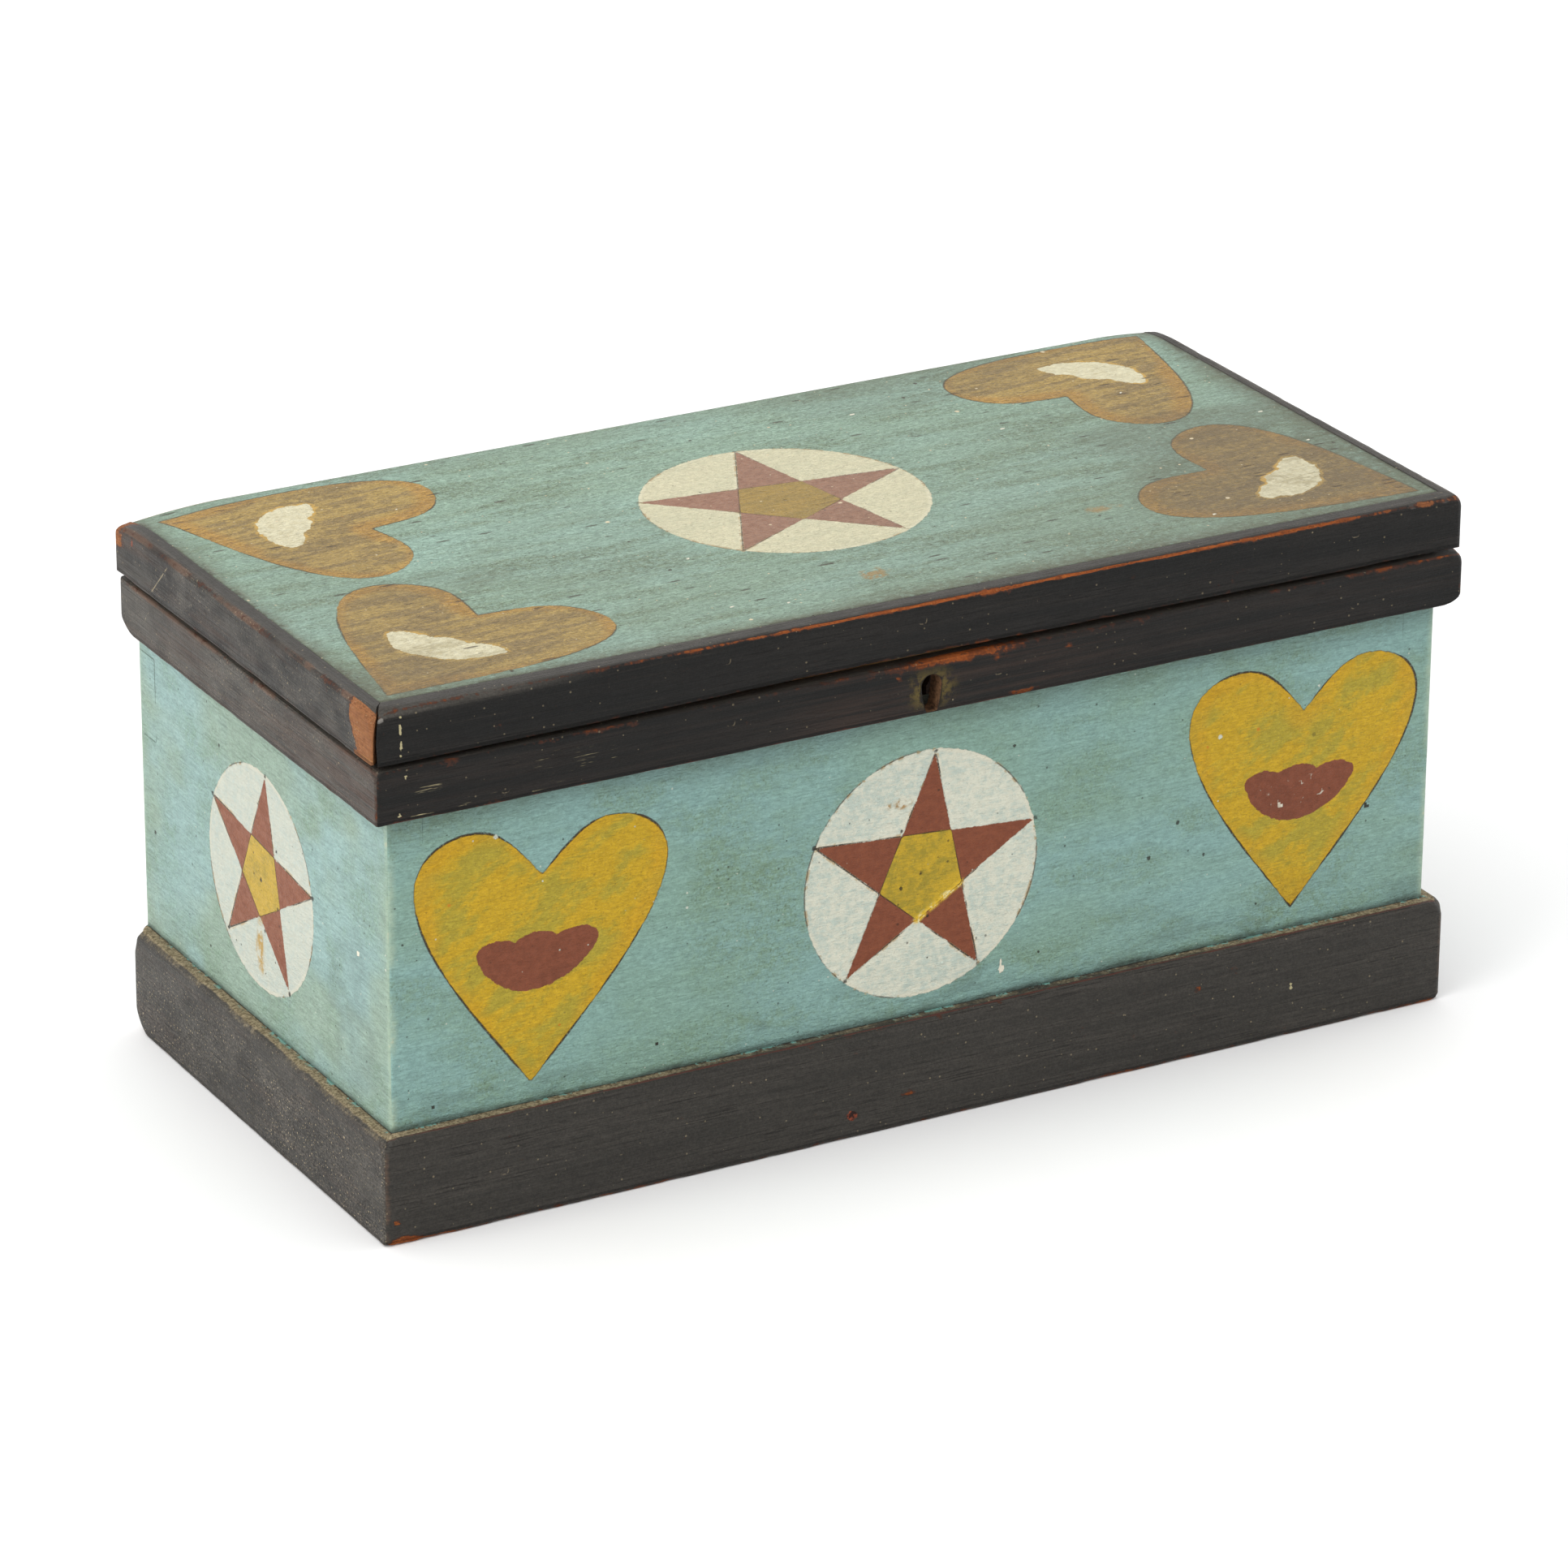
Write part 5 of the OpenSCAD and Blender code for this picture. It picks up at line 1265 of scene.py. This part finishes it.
# base strips: dusty ledge on top, worn lower corners
def base_extra(a, s, h, o, st):
    ledge = smooth(1.0, 0.2, st.height - h) * smooth(0.8, 2.4, o)
    a["dust"] = np.clip(0.95 * ledge * smooth(5.0, 4.3, o) + 0.12 * smooth(2.0, 0.0, np.hypot(o, st.height - h)), 0, 1)
    a["tealfleck"] = ledge * smooth(3.0, 4.4, o)


def base_front_extra(a, s, h, o, st):
    base_extra(a, s, h, o, st)
    a["dust"] = a["dust"] * np.clip(wear_profile(s, [(-181, 1.0), (-128, 1.0), (-104, 0.62), (-30, 0.46), (60, 0.50), (110, 0.74), (150, 0.9), (181, 1.0)]) + 0.5 * (fbm(s / 8, o / 3, 105, 4) - 0.5), 0, 1)
    a["tealfleck"] = np.clip(1.6 * a["tealfleck"], 0, 1)
    a["grey_and_sheen"] = np.clip(a["grey_and_sheen"] + 0.44 * (o < 1.2), 0, 1)
    a["redline"] = 0.72 * smooth(0.5, 1.3, o) * smooth(2.4, 1.2, o) * smooth(0.6, 0.2, st.height - h)
    d = np.hypot(s + 27.5, h - 7.4)
    a["rust"] = (1 - smooth(1.0, 2.4, d + 0.8 * (fbm(s / 1.5, h / 1.5, 71) - 0.5))) * (o < 1.2)
    a["nail"] = nail_marks(s, h, o < 1.2, [(138, 7.0), (-104, 13.5), (90, 22.0), (-142, 16)])
    a["wear"] = np.maximum(a["wear"], 0.7 * blob(s, h, -8, 10.3, 2.2, 0.8, 72, 0.6) * (o < 1.2))
    a["wear"] = np.maximum(a["wear"], 0.62 * blob(s, h, 92, 22.3, 2.0, 1.4, 73, 0.8) * (o < 1.2))
    a["wear"] = np.maximum(a["wear"], 0.92 * blob(s, h, -173.5, 0.4, 6.2, 2.7, 76, 0.35) * (o < 2.0))
    a["wear"] = np.maximum(a["wear"], 0.62 * blob(s, h, -176.3, 7.2, 1.5, 1.0, 77, 0.8) * (o < 1.2))
    a["edge"] = 0.55 * smooth(3.4, 0.6, 180.1 - np.abs(s)) * (o < 1.4) * smooth(0.3, 0.6, fbm(h / 6, 2.0, 70))
    a["cream"] = 0.75 * np.maximum(blob(s, h, 125.3, 16, 0.5, 1.6, 74, 0.3), blob(s, h, 117.5, 27, 0.3, 4, 75, 0.4)) * (o < 1.2)


base_front = front_strip(
    "base_strip_front", "base_moulding_front", "case", A, YF, A + BASE_T, YF - BASE_T, 0, BASE_H, (0.9, 0.2, 0.3, 1.9), 1.9,
    {"top": [(-181, 0.15), (-100, 0.1), (-20, 0.3), (20, 0.3), (60, 0.1), (181, 0.15)], "bottom": [(-181, 1.30), (-168, 1.15), (-158, 0.7), (-150, 0.6), (-120, 0.5), (-100, 0.62), (-80, 0.45), (40, 0.5), (60, 0.6), (120, 0.45), (165, 0.6), (181, 0.9)], "corner": 0.12},
    1, base_front_extra, foot=[(-1, 4.2, 2.2), (1, 5.0, 4.0)], balls=[(-1, 9.0, (4.6, 4.6, 3.6)), (1, 9.0, (4.6, 4.0, 3.4))])


def base_end_extra(a, s, h, o, st):
    base_extra(a, s, h, o, st)
    # Lighter grey over the outer face and along the rounded top edge: painted sheen and painted highlight where the
    # light catches them.
    a["grey_and_sheen"] = np.clip(a["grey_and_sheen"] + 0.16 * (o < 1.2) + 0.35 * smooth(2.6, 0.4, np.hypot(o, st.height - h)), 0, 1)
    a["specks"] = (o < 1.2) * (0.35 + 0.65 * smooth(0.30, 0.62, fbm(s / 34, h / 14, 79)) * smooth(34, 20, h))
    a["brown"] = 0.4 * a["brown"]
    a["grey_and_sheen"] = np.clip(a["grey_and_sheen"] + 0.9 * (fbm(s / 13, h / 8, 111, 5, 0.6) - 0.5) * (o < 1.2), 0, 1)
    a["edge"] = 0.4 * a["edge"]
    # Lighter grey at the front end's rounded corner: a painted highlight.
    a["grey_and_sheen"] = np.clip(a["grey_and_sheen"] + 0.34 * smooth(3.4, 0.4, s) * (o < 1.8), 0, 1)
    a["dust"] = np.clip(a["dust"] + 0.34 * smooth(3.6, 0.6, np.hypot(o, st.height - h)) * smooth(0.30, 0.60, fbm(s / 9, h / 3, 106, 4)), 0, 1)


base_left = end_strip(
    "base_strip_left", "base_moulding_left", "case", -1, A, YF, A + BASE_T, YF - BASE_T, YB, 0, BASE_H, (0.9, 0.2, 0.3, 2.4), 1.9,
    {"top": [(0, 0.1), (170, 0.1)], "bottom": [(0, 0.7), (10, 0.3), (120, 0.2), (170, 0.3)], "corner": 0.12},
    2, base_end_extra, foot=(12.0, 13.0), front_foot=(4.2, 2.2), back_corner=1.6, balls=[("front", 9.0, (4.6, 4.6, 3.6)), ("back", 12.0, (4.0, 5.0, 4.0))])
base_right = end_strip(
    "base_strip_right", "base_moulding_right", "case", 1, A, YF, A + BASE_T, YF - BASE_T, YB, 0, BASE_H, (0.9, 0.2, 0.3, 2.4), 1.9,
    {"top": [(0, 0.2), (170, 0.25)], "bottom": [(0, 0.8), (20, 0.35), (120, 0.3), (170, 0.6)], "corner": 0.3},
    3, base_end_extra, foot=(9.0, 8.0), front_foot=(5.0, 4.0), back_corner=1.6, balls=[("front", 9.0, (4.6, 4.0, 3.4)), ("back", 12.0, (4.0, 5.0, 4.0))])


# rim strips: the front one has the keyhole, a chipped upper edge over it and a red line along its foot
def rim_front_extra(a, s, h, o, st):
    face = (o < 1.0)
    a["redline"] = 0.62 * smooth(1.0, 0.1, np.hypot(o, h)) * wear_profile(s, [(-181, 0.9), (-20, 1.0), (60, 0.9), (120, 0.5), (181, 0.5)])
    d = np.hypot((s - KEY_X) / 1.25, (h - (KEY_Z - (RIM_Z - RIM_H)) + 1.0))
    a["rub"] = face * np.clip(smooth(8.5, 3.0, d) * (0.55 + 0.45 * np.abs(np.clip((s - KEY_X) / 4, -1, 1))), 0, 1) * 0.85
    a["wear"] = np.maximum(a["wear"], 0.72 * blob(s, h, -14, 12.6, 1.6, 0.6, 81, 0.6) * face)
    a["wear"] = np.maximum(a["wear"], 0.66 * blob(s, h, 28, 1.0, 6.0, 0.9, 82, 0.9) * face)
    a["wear"] = np.maximum(a["wear"], 0.60 * blob(s, h, 43, 12.4, 2.0, 0.7, 83, 0.8) * face)
    over = smooth(12.9, 15.2, h + 5.0 * (fbm(s / 6.5, h / 2.5, 80, 4) - 0.5)) * wear_profile(s, [(-40, 0), (-28, 0.26), (-14, 0.32), (-6, 0.56), (6, 0.68), (16, 0.66), (24, 0.48), (34, 0.26), (44, 0)])
    a["wear"] = np.maximum(a["wear"], over * (o < 2.5))
    a["brown"] = np.maximum(0.30 * wear_profile(s, [(-60, 0), (-30, 1), (40, 1), (80, 0)]), 0.06) * face
    a["nail"] = nail_marks(s, h, face, [(-69, 10.0), (19.5, 9.0), (66.5, 6.5), (142.5, 6.5), (-141, 4.0)])
    a["cream"] = face * np.maximum.reduce([
        0.7 * blob(s, h, -172.0, 13.6, 0.6, 1.2, 86, 0.3), 0.7 * blob(s, h, -174, 2.2, 1.0, 1.0, 87, 0.5),
        0.55 * blob(s, h, -168, 1.2, 5.0, 0.8, 88, 1.0), 0.5 * blob(s, h, -132, 1.6, 3.0, 0.5, 89, 1.0)])
    a["scuff"] = face * np.maximum.reduce([0.80 * blob(s, h, -164.6, 8.6, 6.5, 1.7, 84, 0.5), 0.42 * blob(s, h, -140, 3.0, 24, 3.0, 85, 1.0), 0.45 * blob(s, h, -120, 9.0, 30, 4.0, 78, 1.0)])


rim_front = front_strip(
    "rim_strip_front", "rim_moulding_front", "case", A, YF, A + RIM_T, YF - RIM_T, RIM_Z - RIM_H, RIM_Z, (0.5, 0.2, 0.3, 0.8), 1.4,
    {"top": [(-181, 0.45), (-172, 0.35), (-150, 0.22), (-125, 0.40), (-110, 0.45), (-90, 0.2), (-48, 0.3), (-30, 0.42), (-20, 0.46), (-4, 0.56), (20, 0.60), (34, 0.46), (56, 0.32), (130, 0.3), (160, 0.55), (172, 0.75), (181, 0.6)],
     "bottom": [(-181, 0.3), (-60, 0.2), (181, 0.2)], "corner": 0.42},
    4, rim_front_extra, foot=[(1, 8.5, 4.2), (-1, 1.2, 1.0)], balls=[(-1, 6.0, (2.4, 2.4, 2.0)), (1, 6.0, (2.6, 2.6, 2.2))])
def rim_left_extra(a, s, h, o, st):
    face = (o < 1.2)
    a["brown"] = np.maximum(a["brown"], 0.75 * smooth(60, 0, s + 14 * (fbm(s / 9, h / 3, 91) - 0.5)) * face)
    a["brown"] = np.maximum(a["brown"], 0.5 * smooth(5, 1, h) * face)
    a["scratch"] = scratch_mark(s, h, face, (150.5, 12.5), (158.5, 3.0))
    # Lighter grey over the face: a painted sheen of the side light, mottled at random.
    a["grey_and_sheen"] = np.clip(a["grey_and_sheen"] + (0.40 + 1.3 * (fbm(s / 9, h / 4.5, 109, 5, 0.6) - 0.5)) * face, 0, 1)
    a["specks"] = 0.34 * face * smooth(0.34, 0.60, fbm(s / 20, h / 8, 110))


rim_left = end_strip(
    "rim_strip_left", "rim_moulding_left", "case", -1, A, YF, A + RIM_T, YF - RIM_T, YB, RIM_Z - RIM_H, RIM_Z, (0.6, 0.2, 0.3, 0.9), 1.4,
    {"top": [(0, 0.4), (14, 0.25), (172, 0.25)], "bottom": [(0, 0.45), (30, 0.35), (172, 0.25)], "corner": 0.45},
    5, rim_left_extra, foot=(13.0, 7.5), front_foot=(1.2, 1.0), back_corner=1.6, balls=[("front", 6.0, (2.4, 2.4, 2.0))])
rim_right = end_strip(
    "rim_strip_right", "rim_moulding_right", "case", 1, A, YF, A + RIM_T, YF - RIM_T, YB, RIM_Z - RIM_H, RIM_Z, (0.6, 0.2, 0.3, 0.9), 1.4,
    {"top": [(0, 0.7), (14, 0.3), (172, 0.3)], "bottom": [(0, 0.5), (172, 0.3)], "corner": 0.6},
    6, None, foot=(10.0, 6.0), front_foot=(8.5, 4.2), back_corner=1.6, balls=[("front", 6.0, (2.6, 2.6, 2.2))])


# lid strips: rounded and rubbed to the wood along the top, the left mitre opened
def lid_front_extra(a, s, h, o, st):
    face = (o < 1.0)
    a["nail"] = nail_marks(s, h, face, [(-144.5, 11.8), (-5.7, 11.0), (70, 11.2), (142.5, 11.2), (-70, 11.0)])
    dots = np.maximum.reduce([blob(s, h, -173.0 + dx, hh, 0.48, lh, 90 + k, 0.5) for k, (hh, lh, dx) in enumerate([(13.7, 0.5, 0), (10.6, 1.25, 0), (9.2, 0.9, 0.0), (5.5, 1.15, 0.2), (4.6, 0.8, 0.15), (2.3, 0.6, 0)])])
    a["cream"] = 0.95 * dots * face
    bend = smooth(8.5, 2.0, np.hypot(s + 181.0, (st.height - h) * 1.15) + 2.2 * (fbm(s / 3, h / 3, 99) - 0.5))
    a["edge"] = 0.35 * bend
    # The patch at the left end is a painted highlight on the rounded corner.
    a["chalk_and_highlight"] = blob(s, h, -179.0, 14.2, 1.5, 1.5, 100, 0.5) * (o < 2.5)
    top = np.hypot(o, st.height - h)
    # Lighter grey along the rounded top edge of the left part: a painted highlight.
    a["grey_and_sheen"] = np.maximum(a["grey_and_sheen"], 0.75 * smooth(3.0, 1.2, top) * smooth(-100, -150, s))
    a["raw"] = 0.65 * smooth(146, 172, s)
    a["wear"] = np.maximum(a["wear"], 0.56 * smooth(1.7, 0.5, top + 2.0 * (fbm(s / 4, 0, 101, 4) - 0.5)) * smooth(150, 166, s))
    a["chalk_and_highlight"] = np.maximum(0.7 * a["chalk_and_highlight"], 0.45 * np.maximum(blob(s, top, 163.0, 0.8, 1.8, 0.7, 102, 0.7), blob(s, top, 174.5, 0.8, 2.2, 0.7, 103, 0.7)))
    a["redline"] = 0.45 * smooth(0.8, 0.1, np.hypot(o, h)) * wear_profile(s, [(-181, 0.3), (-60, 0.6), (-20, 1.1), (24, 1.1), (60, 0.6), (181, 0.4)])


def lid_sag(x):
    """The front strip's lower edge bows up a little where the seam stands open."""
    return 0.7 * np.exp(-((x + 26) / 46.0) ** 2) - 0.35 * smooth(60, 181, np.abs(x)) + 0.16 * (fbm(x / 22, 0, 401) - 0.5)


lid_front = front_strip(
    "lid_strip_front", "lid_moulding_front", "lid", LX, LYF, LX + LET, LYF - LFT, STRIP_Z, TOP, (0.7, 0.2, 0.3, 1.9), (1.3, 2.4),
    {"top": [(-181, 0.30), (-165, 0.55), (-150, 0.30), (-110, 0.42), (-70, 0.60), (-20, 0.88), (60, 0.95), (110, 0.88), (140, 0.70), (165, 0.45), (181, 0.5)],
     "bottom": [(-181, 0.3), (-60, 0.3), (-20, 0.45), (24, 0.45), (60, 0.3), (181, 0.3)], "corner": 0.12, "arris": 0.95},
    7, lid_front_extra, gap=(1.0, 0.05), foot=[(1, 1.2, 1.0), (-1, 1.2, 1.0)], sag=lid_sag, balls=[(1, 10.0, (3.2, 3.4, 3.2)), (-1, 14.0, (5.4, 4.2, 6.4))])


def lid_left_extra(a, s, h, o, st):
    patch = 1 - smooth(12.5, 16.0, s + 6.5 * (fbm(s / 4, h / 2.2, 95, 5, 0.6) - 0.5) + 3.0 * smooth(12, 1, h))
    a["wear"] = np.maximum(a["wear"], 0.95 * patch * (o < 1.4))
    a["raw"] = np.maximum(smooth(30, 18, s), 0.75 * smooth(150, 160, s))
    a["wear"] = np.maximum(a["wear"], 0.80 * smooth(163, 170, s) * smooth(7.5, 11, h + 6 * (fbm(s / 3, h / 3, 96, 5, 0.6) - 0.5)))
    a["rust"] = 0.75 * blob(s, h, 159.4, 13.4, 1.1, 2.6, 97, 0.5) * (o < 2.4)
    a["scratch"] = scratch_mark(s, h, o < 1.4, (135.0, 13.6), (148.0, 0.8))
    a["grey_and_sheen"] = np.clip(a["grey_and_sheen"] + 1.3 * (fbm(s / 9, h / 4.5, 107, 5, 0.6) - 0.5) * (o < 1.4), 0, 1)
    a["specks"] = 0.42 * (o < 1.4) * smooth(0.34, 0.60, fbm(s / 20, h / 8, 108))


lid_left = end_strip(
    "lid_strip_left", "lid_moulding_left", "lid", -1, LX, LYF, LX + LET + 0.5, LYF - LFT, LYB, STRIP_Z, TOP, (0.8, 0.2, 0.3, 1.9), 1.3,
    {"top": [(0, 0.7), (14, 0.4), (60, 0.35), (172, 0.4)], "bottom": [(0, 0.6), (16, 0.35), (172, 0.3)], "corner": 0.9},
    8, lid_left_extra, gap=0.1, front_foot=(3.0, 2.6), back_corner=2.4, balls=[("back", 9.0, (2.8, 3.4, 2.8)), ("front", 12.0, (4.6, 4.2, 5.6))], fall=lambda y: lid_fall(-LX, y))
def lid_right_extra(a, s, h, o, st):
    # Lighter grey along the rounded top edge: a painted highlight, broken up at random.
    a["grey_and_sheen"] = np.clip(a["grey_and_sheen"] + 0.40 * smooth(5.0, 1.5, np.hypot(o, st.height - h)) * smooth(0.25, 0.6, fbm(s / 24, o / 3, 104)), 0, 1)


lid_right = end_strip(
    "lid_strip_right", "lid_moulding_right", "lid", 1, LX, LYF, LX + LET - 0.3, LYF - LFT, LYB, STRIP_Z, TOP, (0.8, 0.2, 0.3, 2.9), 2.4,
    {"top": [(0, 0.7), (14, 0.5), (100, 0.5), (172, 0.5)], "bottom": [(0, 0.4), (172, 0.3)], "corner": 0.5},
    9, lid_right_extra, gap=0.05, back_corner=4.0, balls=[("back", 10.0, (3.4, 4.0, 3.4)), ("front", 10.0, (3.2, 3.4, 3.2))], fall=lambda y: lid_fall(LX, y))


# ------------------------------------------------------------------ keyhole, cut through the front rim strip
def bare_wood(name, light, dark):
    m = Mat(name)
    P = m.pos()
    fibre = m.noise(m.scaled(P, (300, 700, 1600)), 1.0, 4.0, 0.6)
    patch = m.noise(P, 320.0, 3.0, 0.6)
    col = m.mix(m.ramp(m.add(m.mul(fibre, 0.6), m.mul(patch, 0.4)), 0.36, 0.64), light, dark)
    return m.finish(col, m.ramp(patch, 0.3, 0.7, 0.6, 0.8), m.mul(fibre, 0.15), 0.001, 0.2)


key_wood = bare_wood("keyhole_wood", lin(122, 90, 64), lin(66, 47, 34))


def keyhole_cutter():
    """A round that narrows to a blunt foot just above the strip's lower edge."""
    foot = RIM_Z - RIM_H + 0.45
    pts = []
    for k in range(29):
        t = math.radians(-16 + 206 * k / 28)
        pts.append((KEY_X + 3.35 * math.cos(t), KEY_Z + 3.4 * math.sin(t)))
    left = bezier((KEY_X - 3.3, KEY_Z - 0.6), (KEY_X - 3.2, KEY_Z - 3.0), (KEY_X - 2.5, foot + 2.6), (KEY_X - 2.0, foot + 0.5), 8)[1:]
    right = bezier((KEY_X + 2.1, foot + 0.5), (KEY_X + 2.6, foot + 2.6), (KEY_X + 3.1, KEY_Z - 3.2), (KEY_X + 3.22, KEY_Z - 1.0), 8)[:-1]
    pts += [tuple(q) for q in left] + [(KEY_X - 1.6, foot), (KEY_X + 1.7, foot)] + [tuple(q) for q in right]
    n = len(pts)
    verts = [(x, YF - RIM_T - 3, z) for x, z in pts] + [(x, YF + 0.6, z) for x, z in pts]
    faces = [list(range(n)), list(range(n, 2 * n))[::-1]] + [[k, n + k, n + (k + 1) % n, (k + 1) % n] for k in range(n)]
    return new_object("keyhole_cutter", verts, faces, mat=key_wood, flat=n + 2)


cutter = keyhole_cutter()
carve(rim_front, cutter)

# ------------------------------------------------------------------ CAD pieces that stay: boards and hardware
nodes["front_board"].data.materials.clear()
nodes["front_board"].data.materials.append(pine_front)
nodes["bottom_board"].data.materials.clear()
nodes["bottom_board"].data.materials.append(pine_x)
for n in ("left_end_board", "right_end_board"):
    nodes[n].data.materials.clear()
    nodes[n].data.materials.append(pine_y)
nodes["back_board"].data.materials.clear()
nodes["back_board"].data.materials.append(back_wood)
nodes["lid_board"].data.materials.clear()
nodes["lid_board"].data.materials.append(lid_wood)
for n, o in nodes.items():
    if "hinge" in n or "nails" in n or "screws" in n or n in ("lock_cap", "lock_bolt_spring", "lock_studs"):
        o.data.materials.clear()
        o.data.materials.append(iron)
    elif n in ("lock_plate", "lock_bolt", "link_plate", "lock_staple"):
        o.data.materials.clear()
        o.data.materials.append(brass)

# ------------------------------------------------------------------ floor, light and camera
floor_mat = Mat("pale_floor")
fp = floor_mat.pos()
floor_mat.finish(floor_mat.mix(floor_mat.noise(fp, 3.0, 2.0), (0.86, 0.86, 0.86, 1), (0.88, 0.88, 0.88, 1)), floor_mat.ramp(floor_mat.noise(fp, 40.0, 2.0), 0.3, 0.7, 0.80, 0.88), None, spec=0.2)
floor = new_object("floor", [(-9000, -9000, 0), (9000, -9000, 0), (9000, 9000, 0), (-9000, 9000, 0)], [[0, 1, 2, 3]], None, None, floor_mat.mat)

world = bpy.data.worlds.new("studio")
bpy.context.scene.world = world
world.use_nodes = True
world.node_tree.nodes["Background"].inputs["Color"].default_value = (1.0, 1.0, 1.0, 1)
world.node_tree.nodes["Background"].inputs["Strength"].default_value = 0.968


def area(name, loc, aim, size, power, colour=(1, 1, 1)):
    data = bpy.data.lights.new(name, "AREA")
    data.shape = "RECTANGLE"
    data.size, data.size_y = size
    data.energy = power
    data.color = colour
    ob = bpy.data.objects.new(name, data)
    bpy.context.scene.collection.objects.link(ob)
    z = (np.asarray(loc, float) - np.asarray(aim, float))
    z /= np.linalg.norm(z)
    x = np.cross((0, 0, 1), z)
    x = x / np.linalg.norm(x) if np.linalg.norm(x) > 1e-6 else np.array((1.0, 0, 0))
    y = np.cross(z, x)
    m = Matrix.Identity(4)
    for r in range(3):
        m[r][0], m[r][1], m[r][2], m[r][3] = x[r], y[r], z[r], loc[r]
    ob.matrix_world = m
    return ob


area("key_left", (-1.9, -0.35, 1.15), (0, 0, 0.08), (1.6, 1.4), 25, (1.0, 0.99, 0.97))
area("top_soft", (-0.2, 0.35, 2.2), (0, 0, 0.1), (2.2, 1.8), 13.5, (1.0, 1.0, 1.0))
area("right_soft", (1.9, -0.2, 0.9), (0.25, 0, 0.05), (1.4, 1.0), 9.4, (1.0, 1.0, 1.0))

cam_data = bpy.data.cameras.new("camera")
cam_data.sensor_width = 36.0
cam_data.lens = 167.98
cam_data.clip_start, cam_data.clip_end = 0.05, 50.0
cam = bpy.data.objects.new("camera", cam_data)
bpy.context.scene.collection.objects.link(cam)
right = (0.873468, -0.486848, 0.00568)
down = (-0.184491, -0.341753, -0.921503)
ahead = (0.450574, 0.803856, -0.388329)
place_at = (-0.99559, -1.77182, 0.93188)
cm = Matrix.Identity(4)
for r in range(3):
    cm[r][0], cm[r][1], cm[r][2], cm[r][3] = right[r], -down[r], -ahead[r], place_at[r]
cam.matrix_world = cm
bpy.context.scene.camera = cam

bpy.context.scene.view_settings.view_transform = "Standard"
bpy.context.scene.view_settings.look = "None"
